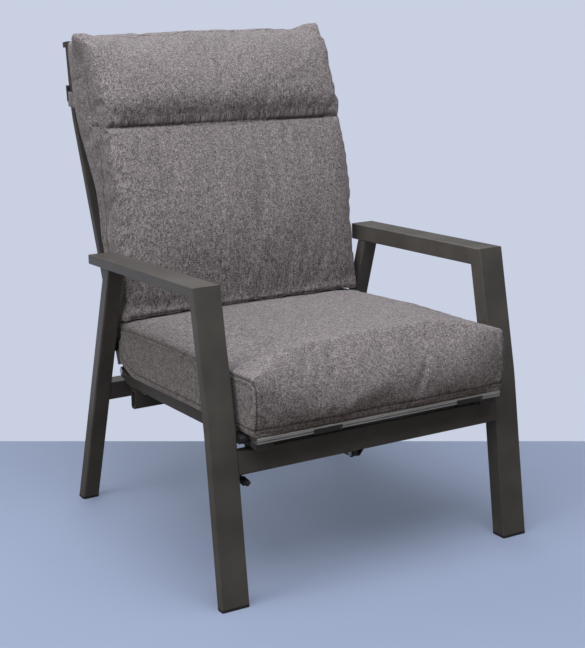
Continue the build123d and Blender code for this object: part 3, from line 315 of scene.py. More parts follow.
def add_threads(tree, place, axis, pitch):
    """A wave from -1 to 1 across the threads that run along the other axis."""
    split = add_node(tree, "ShaderNodeSeparateXYZ", inputs={"Vector": place})
    inputs = {0: split.outputs[axis], 1: pi / pitch}
    turn = add_node(tree, "ShaderNodeMath", {"operation": "MULTIPLY"}, inputs).outputs[0]
    return add_node(tree, "ShaderNodeMath", {"operation": "SINE"}, {0: turn}).outputs[0]


# %% Melange weave, with painted shade in the fold of a seam
# The range of shades that runs from the dark yarn to the light one. Wider is less contrast.
shade_range = (-0.13, 1.21)
# Painted shade in the fold at a seam keeps this share of the cloth's colour, and fades out at the
# far distance.
fold_near, fold_far, fold_shade = 0.6 * MM, 3.0 * MM, 0.35


def add_painted_fold_shade(tree, colour, seam):
    """Paints shade into a colour in the narrow fold of a seam, from the distance stored on the
    cover.
    """
    gap = add_node(tree, "ShaderNodeAttribute", {"attribute_name": seam})
    size = add_node(tree, "ShaderNodeMath", {"operation": "ABSOLUTE"}, {0: gap.outputs["Fac"]})
    inputs = {"Value": size.outputs[0], "From Min": fold_near, "From Max": fold_far}
    inputs["To Min"] = fold_shade
    depth = add_node(tree, "ShaderNodeMapRange", inputs=inputs)
    settings = {"data_type": "RGBA", "blend_type": "MULTIPLY"}
    inputs = {"Factor": 1.0, 6: colour, 7: depth.outputs[0]}
    return add_node(tree, "ShaderNodeMix", settings, inputs).outputs[2]


def new_melange(name, dark, light, seams):
    """A melange cloth with a fuzzy sheen, on the UV map in metres."""
    cloth, tree, shader, _ = new_finish(name, dark, 0.92)
    place = add_node(tree, "ShaderNodeUVMap", {"uv_map": "unrolled"}).outputs[0]
    weft = add_streaks(tree, place, True, 3.0)
    warp = add_streaks(tree, place, False, 11.0)
    wave_u = add_threads(tree, place, 0, yarn_pitch)
    wave_v = add_threads(tree, place, 1, yarn_pitch)
    cross = add_node(tree, "ShaderNodeMath", {"operation": "MULTIPLY"}, {0: wave_u, 1: wave_v})
    inputs = {"Value": cross.outputs[0], "From Min": -0.7, "From Max": 0.7}
    over = add_node(tree, "ShaderNodeMapRange", inputs=inputs)
    inputs = {"Factor": over.outputs[0], 2: weft, 3: warp}
    yarns = add_node(tree, "ShaderNodeMix", {"data_type": "FLOAT"}, inputs)
    inputs = {0: cross.outputs[0], 1: 0.045, 2: yarns.outputs[0]}
    mixed = add_node(tree, "ShaderNodeMath", {"operation": "MULTIPLY_ADD"}, inputs)
    cloudy = add_node(tree, "ShaderNodeTexNoise", inputs={"Vector": place, "Scale": 9.0})
    inputs = {0: cloudy.outputs[0], 1: 0.08, 2: mixed.outputs[0]}
    shade = add_node(tree, "ShaderNodeMath", {"operation": "MULTIPLY_ADD"}, inputs).outputs[0]
    inputs = {"Value": shade, "From Min": shade_range[0], "From Max": shade_range[1]}
    level = add_node(tree, "ShaderNodeMapRange", inputs=inputs)
    even = add_node(tree, "ShaderNodeMath", {"operation": "POWER"}, {0: level.outputs[0], 1: 1.6})
    inputs = {"Factor": even.outputs[0], 6: linear(dark), 7: linear(light)}
    result = add_node(tree, "ShaderNodeMix", {"data_type": "RGBA"}, inputs).outputs[2]
    # Shade is painted into the cloth's colour along the fold of each seam.
    for seam in seams:
        result = add_painted_fold_shade(tree, result, seam)
    tree.links.new(result, shader.inputs["Base Color"])
    inputs = {"Height": shade, "Distance": 0.1 * MM, "Strength": 0.4}
    bump = add_node(tree, "ShaderNodeBump", inputs=inputs)
    tree.links.new(bump.outputs[0], shader.inputs["Normal"])
    shader.inputs["Sheen Weight"].default_value = 0.2
    shader.inputs["Sheen Roughness"].default_value = 0.5
    shader.inputs["Specular IOR Level"].default_value = 0.25
    return cloth


yarn_dark, yarn_light = "#3c3635", "#bfb7b8"
seams = ("panel_seam", "edge_seam")
melange = new_melange("melange_weave_polyolefin", yarn_dark, yarn_light, seams)
tab_cloth = new_melange("melange_weave_tab", yarn_dark, yarn_light, ())
print("cloth", melange.name, "yarn pitch", yarn_pitch)

# %% [markdown]
# ## Sling mesh, webbing and thread
#
# The slings are a PVC-coated polyester mesh. Its yarns are stiff and round, with small square
# holes between them that read as dark dots. The holes could be cut out of the surface, but they
# are far below a pixel, so the pattern is drawn in the colour and the bump.
#
# The straps and the head band are black polyester webbing, which has ribs across its width.

# %% Coated mesh
def draw_weave(tree, shader, height, low_colour, high_colour):
    """Colours a cloth by the height of its weave, and makes that height a bump of 0.3 mm."""
    inputs = {"Factor": height, 6: linear(low_colour), 7: linear(high_colour)}
    shade = add_node(tree, "ShaderNodeMix", {"data_type": "RGBA"}, inputs)
    tree.links.new(shade.outputs[2], shader.inputs["Base Color"])
    bump = add_node(tree, "ShaderNodeBump", inputs={"Height": height, "Distance": 0.3 * MM})
    tree.links.new(bump.outputs[0], shader.inputs["Normal"])


# Real mesh has a yarn each 1.3 mm. It is drawn at 2.6 mm so that it shows.
mesh_pitch = 2.6 * MM
sling_mesh, tree, shader, _ = new_finish("coated_polyester_mesh", "#6d6f6c", 0.55)
place = add_node(tree, "ShaderNodeUVMap", {"uv_map": "unrolled"}).outputs[0]
across = add_threads(tree, place, 0, mesh_pitch / 2)
down = add_threads(tree, place, 1, mesh_pitch / 2)
bars = [
    add_node(tree, "ShaderNodeMath", {"operation": "ABSOLUTE"}, {0: wave}).outputs[0]
    for wave in (across, down)
]
yarns = add_node(tree, "ShaderNodeMath", {"operation": "MAXIMUM"}, dict(enumerate(bars)))
inputs = {"Value": yarns.outputs[0], "From Min": 0.35, "From Max": 0.75}
hole = add_node(tree, "ShaderNodeMapRange", inputs=inputs).outputs[0]
draw_weave(tree, shader, hole, "#3a3c3b", "#7d807c")
print("sling mesh", sling_mesh.name, "pitch", mesh_pitch)

# %% Webbing and sewing thread
# Webbing ribs are 1 mm apart on the real strap, drawn at 2 mm so that they show.
webbing, tree, shader, _ = new_finish("black_polyester_webbing", "#19191a", 0.75)
place = add_node(tree, "ShaderNodeUVMap", {"uv_map": "unrolled"}).outputs[0]
ribs = add_threads(tree, place, 1, 1.0 * MM)
cords = add_threads(tree, place, 0, 2.4 * MM)
inputs = {0: cords, 1: 0.5, 2: ribs}
both = add_node(tree, "ShaderNodeMath", {"operation": "MULTIPLY_ADD"}, inputs)
inputs = {"Value": both.outputs[0], "From Min": -1.5, "From Max": 1.5}
weave = add_node(tree, "ShaderNodeMapRange", inputs=inputs).outputs[0]
draw_weave(tree, shader, weave, "#101011", "#2b2b2d")
shader.inputs["Sheen Weight"].default_value = 0.2

# Polyester sewing thread, dyed near the cloth, with a little twist in its shade
shades = ("#444042", "#5a5557")
thread = grained("polyester_thread", "#4a4648", 0.6, 1.0 * MM, 0.05 * MM, shades, 0.05, 0.01)
print("webbing", webbing.name, "and thread", thread.name)

# %% [markdown]
# ## Give every rigid part its finish
#
# Each CAD part already names the finish that it has. The parts keep their shape, and only the
# material in their slots is exchanged, which is the whole of the work for metal and plastic.

# %% Finishes on the CAD parts
finish_of = {
    "frame_paint": frame_coat,
    "rail_paint": rail_coat_shaded,
    "cap_plastic": cap_plastic,
    "black_plastic": black_plastic,
    "black_steel": steel_paint,
    "bright_steel": plating,
    "bar_metal": bar_metal,
    "woven_fabric": melange,
    "sling_fabric": sling_mesh,
    "black_webbing": webbing,
}
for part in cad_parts.values():
    for slot in part.material_slots:
        slot.material = finish_of[slot.material.name.split(".")[0]]
print("finished", len(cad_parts), "parts")

# %% [markdown]
# ## How a stuffed cover is made
#
# A cushion is a flat-cut cover that its filling pushes out until the cloth is tight. Drawn by
# hand, such a form looks like a swollen block. Here the cover starts a little smaller than the
# CAD solid, as an even net of small faces, and a cloth simulation with air pressure swells it.
# Where it rests on something, and along its seams, it is held, so it bulges between them.
#
# The net comes from a voxel remesh, because cloth needs faces of one size. Gravity is off: the
# rest areas are already flat where the cushion lies.

# %% Start a cover from its solid
voxel = 6.5 * MM


def start_cover(name, node, finish, smoothing):
    """An even net over the solid, with its edges rounded as cloth rounds them."""
    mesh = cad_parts[node].data.copy()
    merged = bmesh.new()
    merged.from_mesh(mesh)
    bmesh.ops.remove_doubles(merged, verts=merged.verts, dist=0.05 * MM)
    merged.to_mesh(mesh)
    merged.free()
    cover = new_piece(name, mesh, finish)
    remesh = cover.modifiers.new("net", "REMESH")
    remesh.mode = "VOXEL"
    remesh.voxel_size = voxel
    soften = cover.modifiers.new("soften", "SMOOTH")
    soften.factor = 0.5
    soften.iterations = smoothing
    make_plain(cover)
    cover.data.materials.clear()
    cover.data.materials.append(finish)
    print(name, "net", len(cover.data.vertices), "points")
    return cover


# %% Fill a cover
# The cloth has come to rest after this many steps.
last_step = 20


def fill_cover(cover, hold, pressure, reach):
    """Swells a cover. hold runs from 0, free, to 1, fixed, and reach caps each point's way."""
    start = points_of(cover.data)
    group = cover.vertex_groups.new(name="held")
    for index in np.nonzero(hold > 0.01)[0]:
        group.add([int(index)], float(hold[index]), "REPLACE")
    cloth = cover.modifiers.new("filling", "CLOTH")
    for name, value in {
        "quality": 5,
        "mass": 0.25,
        "tension_stiffness": 12,
        "compression_stiffness": 12,
        "shear_stiffness": 5,
        "bending_stiffness": 0.6,
        "shrink_min": -0.012,
        "use_pressure": True,
        "uniform_pressure_force": pressure,
        "vertex_group_mass": "held",
        "pin_stiffness": 1.0,
    }.items():
        setattr(cloth.settings, name, value)
    cloth.settings.effector_weights.gravity = 0.0
    cloth.collision_settings.use_collision = False
    cloth.point_cache.frame_start = 1
    cloth.point_cache.frame_end = last_step
    for step in range(1, last_step + 1):
        bpy.context.scene.frame_set(step)
    make_plain(cover)
    cover.vertex_groups.clear()
    moved = points_of(cover.data) - start
    size = np.linalg.norm(moved, axis=1)
    moved *= np.minimum(1.0, reach / np.maximum(size, 1e-9))[:, None]
    put_points(cover.data, start + moved)
    print(cover.name, "mean swell", round(float(size.mean()) * 1000, 1), "mm")
    bpy.context.scene.frame_set(1)


# %% Finer net, width and map of a cover
def refine_cover(cover):
    """One subdivision, so that seams and puckers have points to live on."""
    finer = cover.modifiers.new("finer", "SUBSURF")
    finer.levels = finer.render_levels = 1
    make_plain(cover)


def let_out(cover, half):
    """Lets the cover out sideways to a half width, as rounding its edges has made it narrow."""
    points = points_of(cover.data)
    reach = np.abs(points[:, 0]).max()
    points[:, 0] *= half / reach
    put_points(cover.data, points)
    print(cover.name, "let out from", round(float(reach), 4), "to", round(float(half), 4))


def unroll(cover, along_v, plain=None, side_share=0.72):
    """A UV map in metres: x across and along_v down the cover, and the side view on its sides.

    The way down the cover is measured on the plain form, where that is given.
    """
    mesh = cover.data
    points = points_of(mesh)
    side = np.abs(rows_of(mesh.polygons, "normal")[:, 0]) > side_share
    corners = rows_of(mesh.loops, "vertex_index", 1, np.int32)[:, 0]
    counts = rows_of(mesh.polygons, "loop_total", 1, np.int32)[:, 0]
    is_side = np.repeat(side, counts)
    place = points[corners]
    u = np.where(is_side, place[:, 1], place[:, 0])
    down = along_v(place if plain is None else plain[corners])
    v = np.where(is_side, place[:, 2], down)
    layer = mesh.uv_layers.new(name="unrolled")
    layer.data.foreach_set("uv", np.stack([u, v], 1).astype(np.float32).ravel())


def store(cover, name, values):
    """Stores one number per point on the cover."""
    layer = cover.data.attributes.new(name, "FLOAT", "POINT")
    layer.data.foreach_set("value", values.astype(np.float32))


# %% [markdown]
# ## The seat cushion
#
# The seat cushion is a box cushion. One long panel wraps over the top and down the front, and
# each side is a panel of its own, sewn on along the top edge and down the front corner. The
# sides are firm, the top crowns, and the front edge is a soft roll. The rear lies under the
# back cushion, and the bottom lies flat on the sling, so both are held.

# %% Seat cushion cover
_, seat_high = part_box("seat_cushion")
back_low, back_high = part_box("back_cushion")
side_half, back_half = seat_high[0], back_high[0]
seat_cover = start_cover("seat_cushion_cover", "seat_cushion", melange, 5)

# The left seam: up the front corner, round it and back along the side panel's top edge
seat_seam = np.array(
    [
        (0.2880, -0.4300, 0.336),
        (0.2880, -0.4320, 0.380),
        (0.2885, -0.4300, 0.418),
        (0.2910, -0.4240, 0.428),
        (0.2940, -0.4100, 0.432),
        (0.2960, -0.3800, 0.431),
        (0.2960, -0.2060, 0.423),
        (0.2960, -0.0590, 0.417),
        (0.2960, 0.0800, 0.411),
        (0.2960, 0.1500, 0.405),
    ]
)

# How firmly the cover is held along its seams and on its sides, from 0 to 1
seam_grip, side_grip = 0.85, 0.35
# It starts this far inside the solid, with slow lumps, and the pressure fills it out again.
seat_draw, seat_lump, lump_size = 4.0 * MM, 0.8 * MM, 0.15
seat_pressure, seat_reach = 2.2, 22 * MM

points = points_of(seat_cover.data)
facing = normals_of(seat_cover.data)
under_back = ease(points[:, 1], back_low[1] - 0.035, back_low[1] - 0.005)
resting = ease(-facing[:, 2], 0.35, 0.75)
rear = ease(points[:, 1], seat_high[1] - 0.05, seat_high[1] - 0.02)
seam_lines = [seat_seam * (side, 1, 1) for side in (-1, 1)]
seam_gap = np.min([to_line(points, line)[0] for line in seam_lines], axis=0)
seam_hold = seam_grip * (1 - ease(seam_gap, 0.004, 0.014))
side_hold = side_grip * ease(np.abs(facing[:, 0]), 0.6, 0.9)
hold = np.maximum.reduce([under_back, resting, rear, seam_hold, side_hold])
lumps = seat_lump * waves(points, lump_size, 1) * (1 - hold)
draw = seat_draw * (1 - hold)
put_points(seat_cover.data, points + facing * (lumps - draw)[:, None])
fill_cover(seat_cover, hold, seat_pressure, seat_reach)
refine_cover(seat_cover)
let_out(seat_cover, side_half + 0.5 * MM)

# %% [markdown]
# In the photograph the top of the seat is fuller than a plain box cushion's: the rear has risen
# where nobody sits on it, and the front stands higher on the sitter's left. Pressure alone is
# even on both sides, so the top is lifted after the simulation.

# %% Plump the seat
def plumped(points):
    """Lifts the top of the seat, at the front most on the sitter's left."""
    front_lift, rear_lift, tilt = 7.0 * MM, 9 * MM, 0.40
    rearward = ease(points[:, 1], -0.30, 0.05)
    lift = (1 - rearward) * front_lift * (1 + points[:, 0] / tilt) + rearward * rear_lift
    lifted = points.copy()
    lifted[:, 2] += lift * ease(points[:, 2], 0.350, 0.415)
    return lifted


put_points(seat_cover.data, plumped(points_of(seat_cover.data)))
seam_lines = [plumped(line) for line in seam_lines]
print("seat top now at", round(float(points_of(seat_cover.data)[:, 2].max()), 3))

# %% [markdown]
# The seams come after the simulation, because the net is too coarse to hold them. Along a seam
# the cloth is drawn in to a narrow groove and gathers in small puckers on both sides of it.
# Each point's distance to the seam, with its sign, is then stored for the shade painted along the
# fold line.

# %% Draw in a seam
groove_half = 3.2 * MM


def sew(cover, lines, depth, pucker, seed, wave=0.012, spread=0.013):
    """Draws the cover in along lines and gathers it in puckers."""
    points = points_of(cover.data)
    facing = normals_of(cover.data)
    gaps, runs = zip(*(to_line(points, line) for line in lines))
    which = np.argmin(gaps, axis=0)
    gap = np.min(gaps, axis=0)
    run = np.choose(which, runs)
    groove = depth * np.exp(-((gap / groove_half) ** 2))
    near = np.nonzero(gap < 5 * spread)[0]
    gather = np.zeros(len(points))
    places = np.column_stack([run[near], gap[near] * 0.25, which[near] * 1.0])
    gather[near] = waves(places, wave, seed)
    gather *= pucker * np.exp(-gap / spread) * ease(gap, 0.0, 4 * MM)
    put_points(cover.data, points + facing * (gather - groove)[:, None])


def snapped(cover, line, step=0.004, lift=0.0):
    """A line cut into even steps and laid onto the cover's surface."""
    tree = BVHTree.FromPolygons(
        [v.co for v in cover.data.vertices], [p.vertices for p in cover.data.polygons]
    )
    laid = []
    for a, b in zip(line[:-1], line[1:]):
        count = max(1, int(np.linalg.norm(b - a) / step))
        laid += [a + (b - a) * i / count for i in range(count)]
    laid.append(line[-1])
    placed = []
    for spot in laid:
        found, face, _, _ = tree.find_nearest(Vector(spot))
        placed.append(found + face * lift)
    return np.array([tuple(p) for p in placed])


# %% Seat seams and puckers
seat_lines = [snapped(seat_cover, line) for line in seam_lines]
sew(seat_cover, seat_lines, 2.2 * MM, 0.9 * MM, 2)
# The lower seam in the side view, front to rear, and its front corner across
low_seam_y, low_seam_z = (-0.416, 0.080, 0.140), (0.341, 0.331, 0.352)
low_side = np.array([(side_half, y, z) for y, z in zip(low_seam_y, low_seam_z)])
low_corner = np.array([(0.270, -0.430, low_seam_z[0])])
low_right = np.vstack([low_side[::-1], low_corner]) * (-1, 1, 1)
low_edge = np.vstack([low_right, low_corner, low_side])
seat_edge = snapped(seat_cover, low_edge)
sew(seat_cover, [seat_edge], 0.9 * MM, 0.5 * MM, 3)
points = points_of(seat_cover.data)
# The cover stays clear of the front legs.
seat_limit = 0.2975
points[:, 0] = np.clip(points[:, 0], -seat_limit, seat_limit)
put_points(seat_cover.data, points)
print("seat seams of", [len(line) for line in (*seat_lines, seat_edge)], "points")


# %% Distances to the seat cushion's seams
def inside(points, outline):
    """Whether each point of the side view lies inside an outline."""
    within = np.zeros(len(points), bool)
    for (y0, z0), (y1, z1) in zip(outline, np.roll(outline, -1, axis=0)):
        crosses = (z0 > points[:, 1]) != (z1 > points[:, 1])
        reach = y0 + (points[:, 1] - z0) * (y1 - y0) / np.where(z1 == z0, 1e-9, z1 - z0)
        within ^= crosses & (points[:, 0] < reach)
    return within


# These distances place the shade painted in the folds of the seat's seams.
gap = np.min([to_line(points, line)[0] for line in seat_lines], axis=0)
panel = np.vstack([seat_seam[:, 1:], [(0.3, 0.40), (0.3, 0.2), (-0.430, 0.2)]])
beyond = np.abs(points[:, 0]) > 0.288
store(seat_cover, "panel_seam", np.where(inside(points[:, 1:], panel) & beyond, -gap, gap))
gap, _ = to_line(points, seat_edge)
level = np.interp(points[:, 1], low_seam_y, low_seam_z)
store(seat_cover, "edge_seam", np.where(points[:, 2] < level, -gap, gap))
unroll(seat_cover, lambda p: p[:, 1] + p[:, 2])
print("seat cover", len(seat_cover.data.polygons), "faces")

# %% Hang the seat cover on the seat
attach(seat_cover, "seat")
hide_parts("seat_cushion")
print("seat cover hangs on the seat")

# %% [markdown]
# ## The back cushion
#
# The back cushion is one cover with two chambers: a long one for the back and a thicker roll
# for the head, parted by a sewn channel. A front and a rear panel meet in a seam that runs up
# each side and over the top, where its corners stand out as small ears. The channel is held
# deep inside the form, so that the filling bulges above and below it.

# %% Back cushion cover
back_cover = start_cover("back_cushion_cover", "back_cushion", melange, 5)
channel_level = 0.832
lean = radians(21.3)

# The panel seam in the side view, from the bottom corner up to the top
back_seam_yz = np.array(
    [
        (0.150, 0.449),
        (0.176, 0.510),
        (0.201, 0.573),
        (0.207, 0.670),
        (0.212, 0.770),
        (0.241, 0.835),
        (0.262, 0.890),
        (0.274, 0.950),
        (0.296, 0.990),
        (0.312, 1.022),
    ]
)
# How firmly the side seams are held, and how the cover starts and fills
seam_grip, back_draw, channel_draw = 0.8, 5.0 * MM, 12.0 * MM
back_lump, lump_size = 1.5 * MM, 0.13
back_pressure, back_reach = 3.2, 26 * MM


def side_line(half):
    """The panel seam on the side at x = half."""
    return np.column_stack([np.full(len(back_seam_yz), half), back_seam_yz])


points = points_of(back_cover.data)
facing = normals_of(back_cover.data)
forward = -facing[:, 1] * cos(lean) + facing[:, 2] * sin(lean)
rear = ease(facing[:, 1], 0.25, 0.6)
base = 1 - ease(points[:, 2], back_low[2] + 0.008, back_low[2] + 0.03)
front = ease(forward, 0.1, 0.5)
channel_gap = np.abs(points[:, 2] - channel_level)
channel_hold = front * (1 - ease(channel_gap, 0.005, 0.012))
rows = [to_line(points, side_line(side * (back_half - 0.004)))[0] for side in (-1, 1)]
seam_hold = seam_grip * (1 - ease(np.min(rows, axis=0), 0.005, 0.015))
hold = np.maximum.reduce([rear, base, channel_hold, seam_hold])
draw = back_draw * (1 - hold) + channel_draw * channel_hold
lumps = back_lump * waves(points, lump_size, 4) * (1 - hold)
put_points(back_cover.data, points + facing * (lumps - draw)[:, None])
fill_cover(back_cover, hold, back_pressure, back_reach)
refine_cover(back_cover)
let_out(back_cover, back_half + 4.5 * MM)

# %% [markdown]
# The back cushion stands on the seat cushion. Its bottom is brought down to just above the
# seat's cover, point by point, because a gap there would let light through.

# %% Rest the back cushion on the seat cushion
rest_gap, longest_drop = 3.0 * MM, 16 * MM
points = points_of(back_cover.data)
seat_top = BVHTree.FromObject(seat_cover, bpy.context.evaluated_depsgraph_get())
drop = np.zeros(len(points))
for index in np.nonzero(points[:, 2] < back_low[2] + 0.04)[0]:
    x, y, _ = points[index]
    spot = seat_top.ray_cast(Vector((x * 0.99, min(y, 0.150), 0.6)), Vector((0, 0, -1)))[0]
    if spot:
        drop[index] = np.clip(back_low[2] - spot[2] - rest_gap, 0, longest_drop)
points[:, 2] -= drop * (1 - ease(points[:, 2], back_low[2] + 0.006, back_low[2] + 0.04))
put_points(back_cover.data, points)
print("back cover rests up to", round(float(drop.max()) * 1000, 1), "mm lower")

# %% [markdown]
# In the photograph the head roll hangs over its channel: its lower half faces down and lies in
# shade, and the chamber below swells right up to the seam. Cloth on a coarse net can't fold
# over itself, so the roll is moved forward and down, and the chamber below forward. The channel
# also sits higher than in the solid, and is raised here with all that lies near it.

# %% The head roll hangs over its channel
def channel_rise(points):
    """How much higher the channel sits in the photograph, most on the sitter's right."""
    return 0.0145 - 0.0167 * points[:, 0]


sag_depth, sag_forward, roll_forward, swell_forward = 8.0 * MM, 5 * MM, 7 * MM, 8 * MM
facing = normals_of(back_cover.data)
plain_form = points.copy()
above = points[:, 2] - channel_level
front = ease(-facing[:, 1], 0.0, 0.5)
sag = np.exp(-np.abs(above) / np.where(above > 0, 24 * MM, 8 * MM))
roll = np.exp(-(((above - 52 * MM) / (36 * MM)) ** 2)) * ease(above, 0.0, 0.036)
swell = np.exp(above / (16 * MM)) * (1 - np.exp(-((above / (4 * MM)) ** 2))) * (above < 0)
points[:, 2] -= sag_depth * sag * front
overhang = sag_forward * sag * ease(above, 0.0, 0.008)
points[:, 1] -= (overhang + roll_forward * roll + swell_forward * swell) * front
points[:, 2] += channel_rise(points) * np.exp(-((above / 0.10) ** 2))
print("roll comes forward by", round(float((roll * front).max() * roll_forward * 1000), 1), "mm")
put_points(back_cover.data, points)

# %% Back seams and channel
points = points_of(back_cover.data)
top_y = back_seam_yz[-1][0]
corner = back_half - 0.012
top_z, bottom_z = 1.030, 0.437
over_top = np.array([(x, top_y, top_z) for x in np.linspace(-corner, corner, 9)])
ring = np.vstack([side_line(-back_half), over_top, side_line(back_half)[::-1]])
panel_line = snapped(back_cover, ring)
sew(back_cover, [panel_line], 1.8 * MM, 1.3 * MM, 5)
sew(back_cover, [panel_line], 0.0, 3.2 * MM, 8, wave=0.034, spread=0.026)

# The channel's seam runs along the deepest points between the two chambers.
across = np.linspace(-corner, corner, 25)
level = channel_level - 6 * MM + channel_rise(points)
near = (facing[:, 1] < 0.1) & (np.abs(points[:, 2] - level) < 12 * MM)
deepest = []
for x in across:
    strip = points[near & (np.abs(points[:, 0] - x) < 10 * MM)]
    deepest.append(strip[np.argmax(strip[:, 1])])
deepest = np.array(deepest)
crease = [np.polyfit(across, deepest[:, axis], 2) for axis in (1, 2)]
channel = np.column_stack([across, np.polyval(crease[0], across), np.polyval(crease[1], across)])
channel_line = snapped(back_cover, channel)
print("channel from", channel[0].round(3), "to", channel[-1].round(3))
sew(back_cover, [channel_line], 4.0 * MM, 1.0 * MM, 6, wave=0.02, spread=0.018)
bottom = np.array([(x, back_low[1] - 0.01, bottom_z) for x in across])
bottom_line = snapped(back_cover, bottom)
sew(back_cover, [bottom_line], 1.6 * MM, 2.4 * MM, 7, wave=0.02, spread=0.024)

# %% Ears and the back cushion's outline
# An ear reaches this far from its corner. It stands out and up, the left one a little higher.
ear_reach, ear_out, ear_up, left_higher = 70 * MM, 14 * MM, 19 * MM, 5 * MM
# The head is wider than the back by this share.
head_wider = 0.014
left_fuller, left_narrower = 8.0 * MM, 6.0 * MM

points = points_of(back_cover.data)
for side in (-1, 1):
    ear = np.array([side * (back_half - 0.006), top_y - 0.006, top_z])
    away = np.linalg.norm(points - ear, axis=1)
    pull = (1 - ease(away, 0.004, ear_reach)) ** 2
    points += pull[:, None] * (side * ear_out, 0.0, ear_up + side * left_higher)
points[:, 0] *= 1 + head_wider * ease(points[:, 2], 0.70, 0.86)
# The sitter's left side is fuller above the armrest and narrower at the head.
left_side = (np.maximum(points[:, 0], 0) / 0.3) ** 2
fuller = ease(points[:, 2], 0.60, 0.66) * (1 - ease(points[:, 2], 0.75, 0.82))
narrower = ease(points[:, 2], 0.86, 0.90) * (1 - ease(points[:, 2], 0.95, 0.99))
points[:, 0] += (left_fuller * fuller - left_narrower * narrower) * left_side
# Its half width is capped: 301 mm low down, 310 mm above the arms and 316 mm at the ears.
limit = 0.301 + 0.009 * ease(points[:, 2], 0.60, 0.68) + 0.006 * ease(points[:, 2], 0.96, 1.0)
points[:, 0] = np.clip(points[:, 0], -limit, limit)
put_points(back_cover.data, points)
print("back cover half width", round(float(np.abs(points[:, 0]).max()), 4))

# %% Distances to the back cushion's seams
# These distances place the shade painted in the folds of the back's seams, channel and bottom
# edge.
gap, _ = to_line(points, panel_line)
level = np.interp(points[:, 2], back_seam_yz[:, 1], back_seam_yz[:, 0])
store(back_cover, "panel_seam", np.where(points[:, 1] > level, -gap, gap))
gap_channel, _ = to_line(points, channel_line)
gap_bottom, _ = to_line(points, bottom_line)
upper = points[:, 2] > np.polyval(crease[1], points[:, 0])
gap_channel = np.where(upper, gap_channel, -gap_channel)
gap_bottom = np.where(points[:, 2] > bottom_z, gap_bottom, -gap_bottom)
nearer = np.abs(gap_channel) < np.abs(gap_bottom)
store(back_cover, "edge_seam", np.where(nearer, gap_channel, gap_bottom))


def down_the_back(place):
    """The way over the front, the top and the rear of the leaning cushion."""
    up = place[:, 2] * cos(lean) + place[:, 1] * sin(lean)
    rearward = place[:, 1] * cos(lean) - place[:, 2] * sin(lean)
    return up + rearward


unroll(back_cover, down_the_back, plain_form)
print("back cover", len(back_cover.data.polygons), "faces")

# %% Hang the back cover on the backrest
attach(back_cover, "backrest")
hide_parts("back_cushion")
print("back cover hangs on the backrest")

# %% [markdown]
# ## Stitches
#
# A seam is held by hundreds of equal stitches, each about 4 mm long with a small gap to the
# next. They could be placed one by one, but they all follow a path, which is what Geometry
# Nodes are for: the path is cut into even steps, a few-faced bead of thread is put on each,
# and it is turned along the path. The tree ends in plain faces, because instances don't export.

# %% Stitch tree
stitch_tree = bpy.data.node_groups.new("stitches_on_a_seam", "GeometryNodeTree")
stitch_tree.interface.new_socket("Seam", in_out="INPUT", socket_type="NodeSocketGeometry")
stitch_inputs = {}
for label, kind in (
    ("Pitch", "NodeSocketFloat"),
    ("Stitch Length", "NodeSocketFloat"),
    ("Thread Radius", "NodeSocketFloat"),
    ("Thread", "NodeSocketMaterial"),
):
    socket = stitch_tree.interface.new_socket(label, in_out="INPUT", socket_type=kind)
    stitch_inputs[label] = socket.identifier
stitch_tree.interface.new_socket("Stitches", in_out="OUTPUT", socket_type="NodeSocketGeometry")

given = add_node(stitch_tree, "NodeGroupInput")
path = add_node(stitch_tree, "GeometryNodeMeshToCurve", inputs={"Mesh": given.outputs["Seam"]})
steps = add_node(
    stitch_tree,
    "GeometryNodeResampleCurve",
    {"mode": "LENGTH"},
    {"Curve": path.outputs[0], "Length": given.outputs["Pitch"]},
)
inputs = {"Segments": 6, "Rings": 4, "Radius": 1.0}
bead = add_node(stitch_tree, "GeometryNodeMeshUVSphere", inputs=inputs)
inputs = {0: given.outputs["Stitch Length"], 1: 0.5}
half_length = add_node(stitch_tree, "ShaderNodeMath", {"operation": "MULTIPLY"}, inputs)
radius = given.outputs["Thread Radius"]
inputs = {"X": radius, "Y": radius, "Z": half_length.outputs[0]}
shape = add_node(stitch_tree, "ShaderNodeCombineXYZ", inputs=inputs)
stitch = add_node(
    stitch_tree,
    "GeometryNodeTransform",
    inputs={"Geometry": bead.outputs["Mesh"], "Scale": shape.outputs[0]},
)
tangent = add_node(stitch_tree, "GeometryNodeInputTangent")
turn = add_node(
    stitch_tree,
    "FunctionNodeAlignRotationToVector",
    {"axis": "Z"},
    {"Vector": tangent.outputs[0]},
)
placed = add_node(
    stitch_tree,
    "GeometryNodeInstanceOnPoints",
    inputs={
        "Points": steps.outputs[0],
        "Instance": stitch.outputs[0],
        "Rotation": turn.outputs[0],
    },
)
real = add_node(
    stitch_tree, "GeometryNodeRealizeInstances", inputs={"Geometry": placed.outputs[0]}
)
painted = add_node(
    stitch_tree,
    "GeometryNodeSetMaterial",
    inputs={"Geometry": real.outputs[0], "Material": given.outputs["Thread"]},
)
add_node(stitch_tree, "NodeGroupOutput", inputs={"Stitches": painted.outputs[0]})
print("stitch tree", len(stitch_tree.nodes), "nodes")


# %% Sew the covers
stitch_sizes = {"Pitch": 5.0 * MM, "Stitch Length": 3.8 * MM, "Thread Radius": 0.35 * MM}


def stitch_rows(name, rows, body):
    """Stitches along rows of points, as one plain piece on that body."""
    path = bpy.data.meshes.new(name)
    spots = np.vstack(rows)
    links, first = [], 0
    for row in rows:
        links += [(first + i, first + i + 1) for i in range(len(row) - 1)]
        first += len(row)
    path.from_pydata([tuple(p) for p in spots], links, [])
    piece = new_piece(name, path, thread)
    nodes = piece.modifiers.new("stitches", "NODES")
    nodes.node_group = stitch_tree
    for label, size in stitch_sizes.items():
        nodes[stitch_inputs[label]] = size
    nodes[stitch_inputs["Thread"]] = thread
    make_plain(piece)
    piece.data.shade_smooth()
    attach(piece, body)
    print(name, "faces", len(piece.data.polygons))


